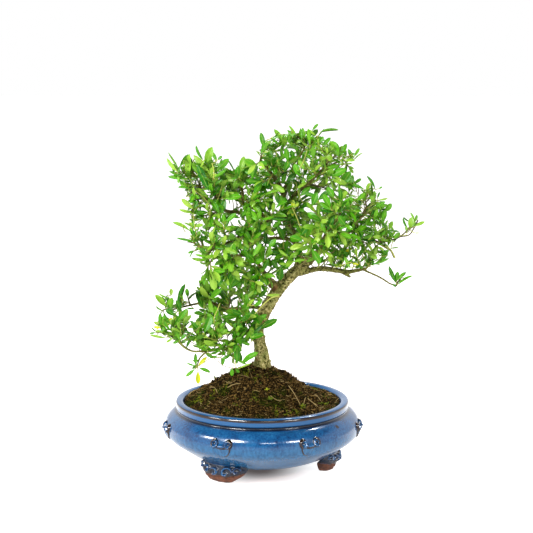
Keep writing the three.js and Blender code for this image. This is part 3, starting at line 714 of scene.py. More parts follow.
def add_stem(target, path, radii, sides, side, tone=0.5, skin_index=0):
    """A closed round stem along a path, drawn out ring by ring from a disc and domed at its end."""
    stem = bmesh.new()
    layer = stem.verts.layers.float.new("tone")
    rings = []
    for place, radius, (way, across, other) in zip(path, radii, path_frames(path, side)):
        rings.append(Matrix.Translation(place) @ turned_to(across, other, way) @ Matrix.Scale(radius, 4))
    bmesh.ops.create_circle(stem, cap_ends=True, segments=sides, radius=1, matrix=rings[0])
    cap = stem.faces[:]
    for before, after in zip(rings, rings[1:]):
        drawn = bmesh.ops.extrude_face_region(stem, geom=cap)["geom"]
        cap = [item for item in drawn if isinstance(item, bmesh.types.BMFace)]
        moved = after @ before.inverted()
        for vert in cap[0].verts:
            vert.co = moved @ vert.co
    bmesh.ops.poke(stem, faces=cap, offset=0.4 * radii[-1])
    bmesh.ops.recalc_face_normals(stem, faces=stem.faces)
    for vert in stem.verts:
        vert[layer] = tone
    for face in stem.faces:
        face.material_index = skin_index
    stem.to_mesh(scratch)
    stem.free()
    target.from_mesh(scratch)


def new_litter():
    made = bmesh.new()
    made.verts.layers.float.new("tone")
    return made


scratch = bpy.data.meshes.new("scratch")
chance = random.Random(11)
pebbles = []
for seed in range(5):
    pebble = new_litter()
    bmesh.ops.create_icosphere(pebble, subdivisions=1 if seed else 2, radius=1)
    for vert in pebble.verts:
        vert.co *= 1 + 0.4 * noise.noise(vert.co * 1.3 + Vector((seed * 7, 0, 0)))
    pebbles.append(pebble)
fibres = []
for seed in range(6):
    fibre = new_litter()
    bend = []
    for place in (0, 0.35, 0.7, 1):
        bend.append(Vector((chance.uniform(-0.2, 0.2), place - 0.5, chance.uniform(-0.05, 0.12))))
    add_stem(fibre, bend, [0.05, 0.06, 0.05, 0.03], 3, Vector((0, 0.1, 1)))
    fibres.append(fibre)
crumbs = new_litter()
for _ in range(crumb_count):
    size = smallest_crumb + (largest_crumb - smallest_crumb) * chance.random() ** 3
    spot = spot_on_soil(chance)
    stretch = Matrix.Diagonal((size * chance.uniform(0.8, 1.5), size, size * chance.uniform(0.5, 0.9), 1))
    matrix = Matrix.Translation(spot + Vector((0, 0, 0.3 * size))) @ random_turn(chance) @ stretch
    add_copy(crumbs, chance.choice(pebbles[1:]), matrix, 0.78 * chance.random() ** 1.8)
for x, y, size in clod_spots:
    for _ in range(4):
        spot = on_mound(x + chance.gauss(0, 1.5), y + chance.gauss(0, 1.5), 0.25 * size)
        sides = (size * chance.uniform(0.6, 1.1), size * 0.8, size * chance.uniform(0.5, 0.8), 1)
        matrix = Matrix.Translation(spot) @ random_turn(chance) @ Matrix.Diagonal(sides)
        add_copy(crumbs, pebbles[0], matrix, 0.15 + 0.35 * chance.random())
for _ in range(fibre_count):
    length = chance.uniform(2, 6.5)
    spot = spot_on_soil(chance, fibre_edge) + Vector((0, 0, 0.35))
    lean = Matrix.Rotation(chance.gauss(0, 0.3), 4, "X") @ Matrix.Rotation(chance.gauss(0, 0.3), 4, "Y")
    turned = Matrix.Rotation(chance.uniform(0, 2 * math.pi), 4, "Z") @ lean
    stretch = Matrix.Diagonal((length * 0.8, length, length * 0.8, 1))
    matrix = Matrix.Translation(spot) @ turned @ stretch
    add_copy(crumbs, chance.choice(fibres), matrix, chance.random() ** 0.8)
for stems, radius, tone in ((dry_stems, stem_thickness, 0.97), (root_hairs, hair_thickness, 0.7)):
    for stem in stems:
        path = curve_through([on_mound(*place) for place in stem], 2)
        radii = [radius * (1 - 0.4 * index / len(path)) for index in range(len(path))]
        add_stem(crumbs, path, radii, 5, Vector((0.1, 0.2, 1)), tone)
for shape in pebbles + fibres:
    shape.free()

straw_tan = (0.33, 0.24, 0.1)


def varied_tone(tree, texture, share):
    """The tone painted on a piece, varied by a share of a texture."""
    return calculate(tree, "MULTIPLY_ADD", texture, share, painted(tree, "tone"))


crumb_earth, tree, shader = new_material("crumb_earth")
grit, drift = add_grain(tree, 900, 80)
tone = varied_tone(tree, grit, 0.35)
# the crumbs' darkest tone is the same near-black: dark peat and painted shade
earth = add_ramp(tree, tone, (0.3, peat_and_gap_shade), (0.6, peat_brown), (0.95, fibre_tan), (1.1, straw_tan))
set_inputs(tree, shader, {
    "Base Color": earth,
    "Roughness": mix_value(tree, drift, 0.85, 1.0),
    "Specular IOR Level": 0.05,
})
place_piece("soil_crumbs", crumbs, [crumb_earth])

# Moss: low cushions of a bright yellow-green moss in the damp places, mostly near the rim.
# Each cushion is a crowd of tufts, and a tuft is a few short pointed blades on one root.
# Listed: each cushion's place on the mound, how far it spreads and how many tufts it has.
moss_patches = [
    (-64, -23, 5, 50), (-60, -30, 4, 20), (14, -63, 4, 26), (24, -61, 4, 26), (33, -56, 4, 24),
    (-14, -15, 8, 46), (-4, -24, 8, 34), (-47, -24, 4, 24), (64, 8, 5, 26), (60, -24, 5, 22),
    (39, -45, 3, 16), (-36, -30, 5, 12), (-24, -52, 7, 14), (-8, -50, 5, 16), (-50, 30, 12, 44),
    (30, 48, 12, 44), (-10, 60, 9, 36), (54, 34, 8, 24), (12, 24, 8, 24), (-28, 10, 8, 26),
]
# seedlings: each one's place on the mound, its leaves' length and its tone
seedlings = [
    (40, -43, 1.9, 0.4), (8, -49, 2.1, 0.45), (64, -17, 1.6, 0.35), (-27, 2, 1.7, 0.35),
    (-25, -13, 1.5, 0.35), (4.8, -40.8, 1.5, 1.6), (-48, 34, 1.7, 0.35), (22, 52, 1.8, 0.4),
]
moss_edge = 76
tuft_blades = 4
tuft = new_litter()
for blade in range(tuft_blades):
    angle = 2.4 * blade
    lean = Vector((math.cos(angle), math.sin(angle), 0)) * (0.25 + 0.09 * blade)
    path = [Vector((0, 0, -0.3)), 0.5 * lean + Vector((0, 0, 0.45)), lean * 1.5 + Vector((0, 0, 0.8))]
    add_stem(tuft, path, [0.12, 0.13, 0.04], 3, Vector((0.3, 0.9, 0.1)))
moss = new_litter()
for x, y, spread, count in moss_patches:
    for _ in range(count):
        spot = on_mound(x + chance.gauss(0, 0.5 * spread), y + chance.gauss(0, 0.5 * spread))
        if spot.to_2d().length > moss_edge:
            continue
        turned = Matrix.Rotation(chance.uniform(0, 2 * math.pi), 4, "Z")
        turned = turned @ Matrix.Rotation(chance.gauss(0, 0.3), 4, "X")
        size = chance.uniform(0.8, 2)
        add_copy(moss, tuft, Matrix.Translation(spot) @ turned @ Matrix.Scale(size, 4), chance.random())
tuft.free()
round_leaf = new_litter()
bmesh.ops.create_icosphere(round_leaf, subdivisions=2, radius=1)
round_leaf.transform(Matrix.Translation((0, 1, 0.1)) @ Matrix.Diagonal((0.6, 1, 0.14, 1)))
for x, y, long, tone in seedlings:
    seedling = Matrix.Translation(on_mound(x, y, 1.2)) @ Matrix.Scale(long, 4)
    start = chance.uniform(0, 2)
    for leaf in range(4):
        turned = Matrix.Rotation(start + 1.6 * leaf, 4, "Z") @ Matrix.Rotation(0.25 + 0.15 * leaf, 4, "X")
        add_copy(moss, round_leaf, seedling @ turned, tone)
    add_stem(moss, [on_mound(x, y, -0.5), on_mound(x, y, 1.3)], [0.25, 0.2], 5, Vector((0, 1, 0.1)), tone)
round_leaf.free()

moss_mid = (0.1, 0.145, 0.01)
moss_bright = (0.26, 0.3, 0.012)
cushion_moss, tree, shader = new_material("cushion_moss")
grit, drift = add_grain(tree, 800, 90)
tone = varied_tone(tree, grit, 0.5)
set_inputs(tree, shader, {
    "Base Color": add_ramp(tree, tone, (0.25, moss_dark), (0.72, moss_mid), (1.2, moss_bright)),
    "Roughness": mix_value(tree, drift, 0.7, 0.95),
    "Specular IOR Level": 0.1,
})
place_piece("cushion_moss", moss, [cushion_moss])

# Trunk: one living stem with all its woody limbs, thick at the soil and ever thinner toward the sprays.
# The old bark is olive grey, ridged, pitted and scarred where limbs were pruned; thin limbs are smoother.
# Each limb is listed as places with a radius, from inside the limb that carries it out to its tip.
limbs = {
    "trunk": [
        (1, 0, 80, 6), (0, 0, 94, 8.6), (0, 0, 102, 9), (0.3, 0, 107, 7.9), (-1.6, -1, 120, 6.3),
        (-3.5, -2, 132, 6), (-4.2, -3, 142, 6), (-1.2, -3, 151, 6.1), (3.4, -2, 160.1, 6.3),
        (9.6, 0, 170.2, 5.9), (16.6, 2, 180.2, 5.9), (24.6, 3, 190.4, 5.8), (33.8, 4, 198.6, 5.6),
        (42.2, 4, 206.2, 5.1), (49, 2, 212.8, 4.8), (55, 0, 217, 3.6),
    ],
    "trunk_stub": [(17, 2, 182, 4.4), (8, 1, 188, 4.2), (5, 0, 192, 3)],
    "right": [
        (50, 2, 213, 4), (60, -4, 222, 3), (67, -8, 228, 2.6), (78, -12, 235, 2.3), (87, -16, 243, 2),
        (95, -20, 254, 1.6), (101, -24, 266, 1.2),
    ],
    "low_right": [
        (30, 4, 194.8, 3.4), (54, 1, 201, 2.7), (67, -2, 201, 2.6), (82, -4, 199, 2.4), (88, -5, 199.5, 2.1),
        (95, -6, 201, 1.8), (102, -8, 203, 1.4),
    ],
    "low_right_tip": [(98, -7, 202, 1.1), (115, -12, 195, 1), (125, -14, 189, 0.9), (131, -15, 187, 0.8)],
    "broken_stub": [(80, -4, 198, 1.8), (87, -6, 194, 1.1)],
    "leader": [
        (35, 4, 200, 4.2), (37, 6, 213, 3.7), (34, 8, 224, 3.4), (31, 10, 235, 3.1), (26, 10, 253, 2.8),
        (19, 6, 279, 2.2), (14, 3, 289, 1.8), (8, 0, 299, 1.4), (4, -2, 307, 1),
    ],
    "upper_right": [
        (23, 9, 262, 2), (29, 4, 271, 2), (37, 0, 279, 1.9), (47, -4, 289, 1.6), (54, -6, 295, 1.4),
        (66, -8, 304, 1.2), (76, -10, 309, 0.9),
    ],
    "top": [(19, 6, 277, 1.6), (27, 4, 289, 1.6), (33, 2, 299, 1.4), (37, 0, 313, 1.2), (41, -2, 320, 0.9)],
    "left": [
        (27, 10, 249, 2.4), (18, 4, 250, 2.4), (8, -2, 253, 2.2), (-4, -6, 257, 2), (-17, -10, 258, 1.9),
        (-36, -14, 261, 1.6), (-47, -16, 267, 1.4), (-55, -16, 275, 1.2), (-64, -12, 294, 0.9),
    ],
    "left_up": [(-15, -9, 258, 1.4), (-18, -12, 268, 1.3), (-19, -12, 281, 1.1), (-21, -11, 287, 0.9)],
    "arch": [
        (10, -1, 252, 1.7), (0, -14, 248, 1.7), (-10, -22, 244, 1.6), (-33, -32, 232, 1.3),
        (-45, -34, 229, 1.1), (-56, -34, 228, 0.9),
    ],
    "low_left": [
        (-2, -2, 139, 2.4), (-14, -12, 140, 2.1), (-33, -22, 131, 1.6), (-46, -25, 125, 1.4),
        (-58, -26, 124, 1.2), (-71, -26, 125, 1.1), (-89, -25, 139, 0.9), (-94, -24, 143, 0.8),
    ],
    "mid_left": [
        (3, -2, 158, 2.2), (-8, 6, 162, 2.1), (-31, 18, 157, 1.7), (-44, 22, 161, 1.5), (-57, 24, 163, 1.3),
        (-83, 22, 158, 1), (-92, 20, 155, 0.9),
    ],
    "front_left": [
        (17, 2, 180, 2.2), (9, -8, 189, 2.1), (2, -16, 201, 1.9), (-6, -24, 212, 1.7), (-16, -30, 219, 1.5),
        (-37, -40, 220, 1.1), (-48, -42, 217, 0.9),
    ],
    "back_left": [
        (34, 8, 224, 2.2), (28, 20, 227, 2.1), (16, 32, 227, 1.9), (0, 42, 224, 1.6), (-18, 50, 217, 1.3),
        (-33, 54, 213, 1),
    ],
    "front_right": [
        (56, 0, 217, 2), (58, -18, 230, 1.9), (62, -32, 241, 1.6), (68, -42, 252, 1.2), (74, -48, 262, 0.9),
    ],
    "back_right": [
        (51, 1, 214, 2.2), (59, 16, 220, 2), (69, 32, 227, 1.6), (81, 44, 236, 1.2), (94, 52, 242, 0.9),
    ],
    "back_top": [
        (21, 8, 268, 1.7), (24, 20, 277, 1.7), (27, 32, 288, 1.4), (31, 42, 299, 1.1), (36, 46, 309, 0.9),
    ],
    "front_top": [
        (19, 6, 279, 1.5), (14, -10, 288, 1.5), (9, -22, 298, 1.3), (4, -32, 306, 1.1), (-1, -38, 313, 0.9),
    ],
    "front_top_right": [
        (37, 0, 279, 1.5), (43, -16, 285, 1.5), (50, -28, 294, 1.3), (57, -36, 303, 1.1),
        (65, -40, 313, 0.9),
    ],
    "back_left_top": [
        (-3, -6, 257, 1.6), (-10, 8, 263, 1.6), (-19, 22, 271, 1.4), (-30, 32, 280, 1.1),
        (-40, 38, 289, 0.9),
    ],
    "far_right": [
        (78, -12, 235, 1.6), (101, -4, 233, 1.4), (115, 0, 227, 1.3), (126, 2, 220, 1.1),
        (130, 2, 212, 0.9),
    ],
    "far_right_tip": [(114, 0, 227, 1.1), (127, -2, 230, 1), (136, -2, 234, 0.9), (142, 0, 239, 0.8)],
}
limb_step = 1.2
limb_sides = 14
bark_voxel = 0.68
first_side = Vector((0.6, 0.7, 0.4))


def finder_of(places):
    """A search tree that finds the nearest of many places, and gives its number."""
    finder = kdtree.KDTree(len(places))
    for index, place in enumerate(places):
        finder.insert(place, index)
    finder.balance()
    return finder


rough_trunk = bmesh.new()
limb_samples = []
for name, places in limbs.items():
    line = curve_through([Vector((*place, index)) for index, place in enumerate(places)], limb_step)
    path = [place.to_3d() for place in line]
    radii = [max(place[3], 0.5) for place in line]
    add_stem(rough_trunk, path, radii, limb_sides, first_side)
    for place, point, radius, turned in zip(line, path, radii, path_frames(path, first_side)):
        limb_samples.append((point, radius, turned, place[4] if name == "trunk" else None))
rough_trunk.to_mesh(scratch)
rough_trunk.free()
joining = bpy.data.objects.new("joining", scratch)
scene.collection.objects.link(joining)
remesh = joining.modifiers.new("join", "REMESH")
remesh.mode = "VOXEL"
remesh.voxel_size = bark_voxel
joined = bpy.data.meshes.new_from_object(joining.evaluated_get(bpy.context.evaluated_depsgraph_get()))
bpy.data.objects.remove(joining)
scratch.clear_geometry()

trunk = bmesh.new()
trunk.from_mesh(joined)
bpy.data.meshes.remove(joined)
bmesh.ops.smooth_vert(
    trunk, verts=trunk.verts, factor=0.5, use_axis_x=True, use_axis_y=True, use_axis_z=True,
)
trunk.normal_update()
girth_layer = trunk.verts.layers.float.new("girth")
wound_layer = trunk.verts.layers.float.new("wound")
nearest_limb = finder_of([point for point, *_ in limb_samples])
# pruning scars: each one's place and its size
wounds = [
    (-5.5, -5, 110.5, 2), (11, -3.5, 183.5, 4.4), (62, -2, 197.5, 2.4), (30, 3, 236, 2.6), (1, -8, 149, 2.2),
]
for vert in trunk.verts:
    place = vert.co.copy()
    _, index, away = nearest_limb.find(place)
    point, radius, (way, first, second), station = limb_samples[index]
    girth = smooth_step(0.9, 6, radius)
    grain = place - way * (0.6 * place.dot(way))
    ridges = noise.fractal(grain * 0.3, 0.8, 2.0, 3)
    pits = noise.fractal(grain * 0.85 + Vector((40, 0, 0)), 0.7, 2.1, 3)
    move = (0.1 + 0.95 * girth) * ridges + (0.08 + 0.5 * girth) * pits
    if station is not None:
        angle = math.atan2((place - point).dot(second), (place - point).dot(first))
        move += radius * (0.07 * math.sin(3 * angle + 0.8 * station) + 0.04 * math.sin(5 * angle - station))
    wound = 0
    for x, y, z, size in wounds:
        reach = (place - Vector((x, y, z))).length / size
        wound = max(wound, smooth_step(1.15, 0.75, reach))
        move += 0.5 * hump(reach, 1.1, 0.2) - 0.35 * smooth_step(1, 0.5, reach)
    vert.co = place + vert.normal * move
    vert[girth_layer] = girth
    vert[wound_layer] = wound

bark_pit = (0.022, 0.02, 0.004)
bark_olive = (0.2, 0.185, 0.05)
bark_buff = (0.36, 0.31, 0.12)
bark_tan = (0.56, 0.48, 0.22)
film_pit = (0.035, 0.04, 0.006)
film_green = (0.34, 0.38, 0.1)
twig_pit = (0.05, 0.045, 0.01)
twig_olive = (0.16, 0.16, 0.035)
wound_brown = (0.17, 0.075, 0.03)
old_bark, tree, shader = new_material("old_bark")
flakes, patches = add_grain(tree, 380, 100)
cells = {"Vector": object_place(tree), "Scale": 520}
cells = add_node(tree, "ShaderNodeTexVoronoi", cells, feature="F1").outputs["Distance"]
bare_bark = add_ramp(tree, flakes, (0.4, bark_pit), (0.48, bark_olive), (0.56, bark_buff), (0.65, bark_tan))
green_bark = add_ramp(tree, flakes, (0.41, film_pit), (0.58, film_green))
rough_bark = mix_colour(tree, remapped(tree, patches, 0.48, 0.66, (0, 0.75), "LINEAR"), bare_bark, green_bark)
young_bark = add_ramp(tree, flakes, (0.4, twig_pit), (0.6, twig_olive))
colour = mix_colour(tree, painted(tree, "girth"), young_bark, rough_bark)
scarred = calculate(tree, "MULTIPLY", painted(tree, "wound"), 0.7)
set_inputs(tree, shader, {
    "Base Color": mix_colour(tree, scarred, colour, wound_brown),
    "Roughness": 0.85,
    "Specular IOR Level": 0.1,
    "Normal": bumped(tree, mix_value(tree, 0.35, flakes, cells), 0.9, 0.0014),
})
place_piece("living_trunk", trunk, [old_bark], ["trunk"])

# Leafy sprays: at the ends and along the sides of the limbs, short green twigs forked once or twice,
# with small leathery leaves set singly all round them. Each grew in one piece with its own leaves.
# Listed: the limb and the share of its length where it grows, the leaves' length, the twigs' reaches.
sprays = [
    ("left", 1, 14, [(-80, -14, 307), (-72, -2, 313)]),
    ("left", 0.86, 16, [(-58, -26, 321), (-48, -12, 317)]),
    ("left", 0.72, 16, [(-46, -34, 301), (-33, -34, 278)]),
    ("left", 0.9, 13, [(-82, -24, 286), (-79, -8, 270)]),
    ("left", 0.62, 13, [(-80, -20, 251), (-60, -34, 262)]),
    ("back_left_top", 1, 15, [(-58, 52, 298), (-74, 40, 287), (-47, 58, 273)]),
    ("back_left_top", 0.5, 15, [(-22, 40, 297), (-34, 30, 294)]),
    ("left_up", 0.6, 16, [(-20, -6, 308), (-7, -14, 302)]),
    ("left_up", 1, 15, [(-29, -14, 304), (-39, -6, 288)]),
    ("leader", 1, 15, [(0, -6, 332), (14, -4, 336), (-5, 10, 318)]),
    ("front_top", 1, 15, [(-10, -52, 306), (0, -46, 321)]),
    ("front_top", 0.6, 15, [(13, -48, 316), (-9, -44, 283)]),
    ("top", 1, 13, [(39, -4, 338), (54, -10, 340), (25, 4, 338)]),
    ("back_top", 1, 14, [(30, 60, 323), (48, 52, 318)]),
    ("back_top", 0.65, 14, [(6, 58, 303), (0, 50, 282)]),
    ("upper_right", 0.78, 14, [(69, -6, 332), (59, 8, 318), (51, 20, 299)]),
    ("upper_right", 1, 13, [(94, -8, 319), (87, -14, 299)]),
    ("front_top_right", 1, 14, [(77, -54, 326), (60, -50, 327)]),
    ("front_top_right", 0.65, 15, [(45, -52, 314), (79, -50, 291)]),
    ("upper_right", 0.45, 15, [(85, 12, 274), (55, 24, 277)]),
    ("right", 1, 13, [(103, -22, 291), (113, -30, 283)]),
    ("right", 0.9, 14, [(123, -26, 268), (122, -32, 250)]),
    ("right", 0.65, 14, [(90, -36, 270), (100, -34, 243)]),
    ("back_right", 1, 15, [(118, 60, 256), (87, 62, 262), (114, 56, 226)]),
    ("front_right", 1, 14, [(75, -60, 287), (91, -62, 266)]),
    ("front_right", 0.6, 15, [(50, -58, 268), (84, -62, 240)]),
    ("far_right", 0.62, 13, [(129, -6, 235), (124, 4, 255)]),
    ("far_right_tip", 1, 11, [(152, 0, 253), (158, -6, 249)]),
    ("low_right", 1, 14, [(122, -14, 215), (107, -22, 223)]),
    ("low_right", 0.55, 14, [(74, -24, 222), (87, -22, 212)]),
    ("low_right_tip", 1, 14, [(140, -16, 201), (124, -18, 205)]),
    ("leader", 0.3, 16, [(56, -24, 249), (44, -30, 234)]),
    ("leader", 0.5, 15, [(29, -22, 270), (42, -32, 268)]),
    ("leader", 0.15, 15, [(14, -26, 216), (29, -34, 217)]),
    ("back_left", 0.5, 15, [(-6, 60, 242), (-23, 64, 229)]),
    ("back_left", 1, 15, [(-53, 66, 212), (-41, 60, 192), (-29, 64, 175)]),
    ("back_left", 0.25, 15, [(36, 46, 248), (24, 50, 212)]),
    ("arch", 1, 15, [(-79, -34, 237), (-64, -40, 226)]),
    ("arch", 0.8, 15, [(-62, -56, 214), (-46, -56, 246)]),
    ("arch", 0.4, 15, [(-25, -46, 254), (-29, -48, 227)]),
    ("front_left", 1, 17, [(-58, -46, 200), (-46, -52, 189)]),
    ("front_left", 0.75, 16, [(-32, -54, 196), (-38, -58, 218)]),
    ("front_left", 0.35, 15, [(-4, -44, 202), (-13, -46, 231), (18, -26, 199)]),
    ("mid_left", 0.2, 13, [(-6, -14, 187), (-16, 20, 174)]),
    ("mid_left", 0.42, 16, [(-30, 18, 187), (-45, 50, 163)]),
    ("mid_left", 0.62, 18, [(-56, 16, 191), (-65, 30, 175)]),
    ("mid_left", 0.8, 17, [(-78, 20, 181), (-85, 36, 163)]),
    ("mid_left", 1, 14, [(-102, 18, 175), (-105, 26, 153)]),
    ("low_left", 1, 14, [(-109, -22, 141), (-101, -30, 156)]),
    ("low_left", 0.82, 14, [(-86, -28, 163), (-74, -20, 166)]),
    ("low_left", 0.6, 15, [(-68, -34, 155), (-52, -34, 159), (-41, -38, 147)]),
    ("low_left", 0.56, 15, [(-72, -36, 98)]),
    ("low_left", 0.3, 14, [(-29, -36, 161), (-23, -34, 129), (-30, -24, 104)]),
    ("low_left", 0.08, 17, [(7, -30, 151), (-4, -28, 139)]),
    ("mid_left", 0.5, 15, [(-68, 46, 139), (-35, 40, 136)]),
]
# how full a spray's side shoots are, where they differ from the rest
lean_sprays = {
    31: 0, 52: 0, 28: 0.5, 27: 0.7, 11: 0.35, 13: 0.5, 15: 0.3, 17: 0.6, 18: 0.5, 30: 0.5, 38: 0.45, 39: 0.7,
    41: 0.4, 47: 0.3, 46: 0.6, 49: 0.5, 54: 0.5,
}
# where further shoots reach to, which fill the crown out between the listed ones
filling_reaches = [
    (0, -30, 270), (10, -20, 275), (13, -34, 262), (-7, -40, 270), (-3, -10, 280), (79, -20, 290),
    (88, -28, 287), (82, -10, 275), (91, -30, 230), (102, -26, 228), (111, -20, 223), (91, -24, 216),
    (80, 20, 232), (40, -40, 230), (50, -24, 224), (57, -46, 243), (66, -30, 262), (-89, -16, 312),
    (-85, -22, 300), (-89, -10, 292), (-76, -16, 272), (-70, -24, 265), (-67, 0, 274), (-86, -30, 252),
    (-82, -34, 237), (-64, -30, 242), (-74, -20, 258), (-42, -30, 258), (-38, -36, 249), (-11, -44, 254),
    (-64, -20, 286), (-30, 10, 262), (-19, -34, 192), (-10, -26, 198), (-6, -30, 184), (-21, -30, 178),
    (-14, -34, 168), (-24, -24, 160), (-48, -40, 150), (-39, -30, 150), (-46, -44, 141), (-35, -34, 135),
    (-25, -36, 143), (-52, -40, 128), (-35, -36, 119), (-18, -30, 120), (-10, -34, 127), (-25, -40, 116),
    (14, -34, 156), (56, -20, 334), (53, -34, 326), (14, -10, 342), (29, -14, 344), (6, -30, 337),
    (119, -16, 240), (129, -10, 245), (133, -10, 239), (-12, -20, 296), (40, 20, 262), (60, 30, 250),
    (-10, 34, 250), (0, 24, 292), (-46, 34, 250), (70, 40, 205), (-20, 40, 196),
]
fork_share = 0.3
shortest_twig = 10
leaf_shares = [0.4, 0.62, 0.86, 0.98]
twig_radii = [1.1, 0.9, 0.6]
fork_radii = [0.45, 0.85, 0.55]
bow_share = 0.3
bend_tries = [1, -1, 1.8, -1.8, 0]
third_turn = 2 * math.pi / 3
turn_tries = [0, 1, 2, 0.2, 1.2, 2.2, -0.2, 0.8, 1.8]
leaf_sink = 0.1
leaf_droop = 0.09
match_distance = 0.03


def seeded_random(seed):
    """The same even random numbers from 0 to 1 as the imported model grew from."""
    state = seed * 7654321 % 2147483647
    while True:
        state = state * 16807 % 2147483647
        yield state / 2147483647


def span_lengths(path):
    return [(after - before).length for before, after in zip(path, path[1:])]


def point_along(path, share):
    """The place at a share of a path's length."""
    lengths = span_lengths(path)
    left = share * sum(lengths)
    for before, after, length in zip(path, path[1:], lengths):
        if left <= length:
            return before.lerp(after, left / length)
        left -= length
    return path[-1].copy()


def leaf_frame(twig, share, angle, roll, length, pitch):
    """A leaf's place on a twig as a matrix: across it, along it and up from its face, by its length."""
    seat = point_along(twig["path"], share)
    way, first, second = path_frames(twig["path"], twig["bow"])[1]
    out = first * math.cos(angle) + second * math.sin(angle)
    along = (way * math.cos(pitch) + out * math.sin(pitch)).normalized()
    face = way * math.sin(pitch) - out * math.cos(pitch) + Vector((0, 0, 0.7))
    normal = Quaternion(along, roll) @ square_to(face, along)
    turned = turned_to(along.cross(normal), along, normal)
    return Matrix.Translation(seat - along * leaf_sink) @ turned @ Matrix.Scale(length, 4)


def packed_points(name):
    """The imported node's own corners, to find again by place, in millimetres from the pot's axis."""
    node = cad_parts[name]
    return finder_of([(node.matrix_world @ corner.co - pot_axis) * 1000 for corner in node.data.vertices])


def count_found(points, places):
    return sum(points.find(place)[2] < match_distance for place in places)


def lay_twig(root, reach, leaf_length, order, draw, points):
    """One twig with its leaves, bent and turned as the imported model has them."""
    length = max((reach - root).length - leaf_length, shortest_twig)
    tip = root + (reach - root).normalized() * length
    bow = Vector([next(draw) - 0.5 for _ in range(3)])
    start = math.floor(3 * next(draw)) + 0.5
    leaves = []
    for index, share in enumerate(leaf_shares):
        size = 0.86 + 0.34 * next(draw)
        leaves.append((share, (start + index) * third_turn, size, 0.8 * (next(draw) - 0.5)))
    radii = fork_radii if order else twig_radii
    best = (-1, None)
    for bend in bend_tries:
        middle = root.lerp(tip, 0.5) + bow * (bend * bow_share * (tip - root).length)
        path = [root, middle, tip]
        rings = path_frames(path, bow)
        corners = []
        for index, radius in ((1, 0.85 if order else 0.9), (2, 0.65)):
            for step in range(3):
                angle = step * third_turn
                side = rings[index][1] * math.cos(angle) + rings[index][2] * math.sin(angle)
                corners.append(path[index] + side * radius)
        found = count_found(points, corners)
        if found > best[0]:
            best = (found, path)
    twig = {"path": best[1], "bow": bow, "radii": radii, "leaves": [], "angles": []}
    for share, angle, size, roll in leaves[1 if order else 0:]:
        pitch = 1.2 - 0.5 * share if share < 0.95 else 0.15
        for turn in turn_tries:
            matrix = leaf_frame(twig, share, angle + turn * third_turn, roll, leaf_length * size, pitch)
            tip_place = matrix @ Vector((0, 1, -leaf_droop))
            if count_found(points, [tip_place]):
                twig["leaves"].append(matrix)
                twig["angles"].append(angle + turn * third_turn)
                break
    return twig


def make_leaf(crown, droop, skew, waist, fold=0.0):
    """A leaf blade one unit long with a short stalk: an upper and a lower skin welded along the edge."""
    blade = bmesh.new()
    layer = blade.verts.layers.float.new("tone")
    uv = blade.loops.layers.uv.new("blade")
    bmesh.ops.create_grid(blade, x_segments=4, y_segments=5, size=1)
    upper = blade.faces[:]
    for face in upper:
        for loop in face.loops:
            even = (loop.vert.co.y + 1) / 2
            loop[uv].uv = (0.5 + 0.5 * loop.vert.co.x, even)
    lower = bmesh.ops.duplicate(blade, geom=blade.verts[:] + blade.edges[:] + upper)["geom"]
    lower_faces = [item for item in lower if isinstance(item, bmesh.types.BMFace)]
    lower_verts = {item for item in lower if isinstance(item, bmesh.types.BMVert)}
    bmesh.ops.reverse_faces(blade, faces=lower_faces)
    for face in lower_faces:
        face.material_index = 1
    for vert in blade.verts:
        across, even = vert.co.x, (vert.co.y + 1) / 2
        share = 0.45 * even + 0.55 * (0.5 - 0.5 * math.cos(math.pi * even))
        opened = max((share - 0.08) / 0.92, 0)
        width = 0.016 + 0.175 * max(math.sin(math.pi * opened ** waist), 0) ** 0.6
        arch = crown * (1 - across * across) * math.sin(math.pi * share) ** 0.6
        groove = 0.014 * hump(across, 0, 0.3) * math.sin(math.pi * share) ** 0.5
        below = 0.03 * (1 - across * across) if vert in lower_verts else 0
        if even in (0, 1):
            below = 0
        keel = fold * abs(across) * math.sin(math.pi * share) ** 0.6
        height = arch + keel - groove - below - droop * share * share
        vert.co = Vector((across * width + skew * share * share, share, height))
    bmesh.ops.remove_doubles(blade, verts=blade.verts, dist=0.0001)
    for edge in blade.edges:
        if len({face.material_index for face in edge.link_faces}) == 2:
            edge.smooth = False
    return blade


leaf_shapes = [
    make_leaf(0.05, leaf_droop, 0.0, 1.1),
    make_leaf(0.03, 0.14, 0.04, 1.1, 0.08),
    make_leaf(0.02, 0.05, -0.05, 1.25, 0.12),
    make_leaf(0.01, 0.2, -0.02, 1.15, 0.06),
    make_leaf(0.05, -0.03, 0.03, 1.05, 0.0),
]

leaf_dark = (0.004, 0.1, 0.001)
leaf_mid = (0.06, 0.256, 0.002)
leaf_fresh = (0.29, 0.446, 0.05)
leaf_yellow = (0.42, 0.44, 0.006)
leaf_pale = (0.13, 0.28, 0.03)
vein_green = (0.3, 0.45, 0.06)
midrib_edge = 0.075
midrib_core = 0.02
vein_slant = -0.55
vein_rhythm = 44

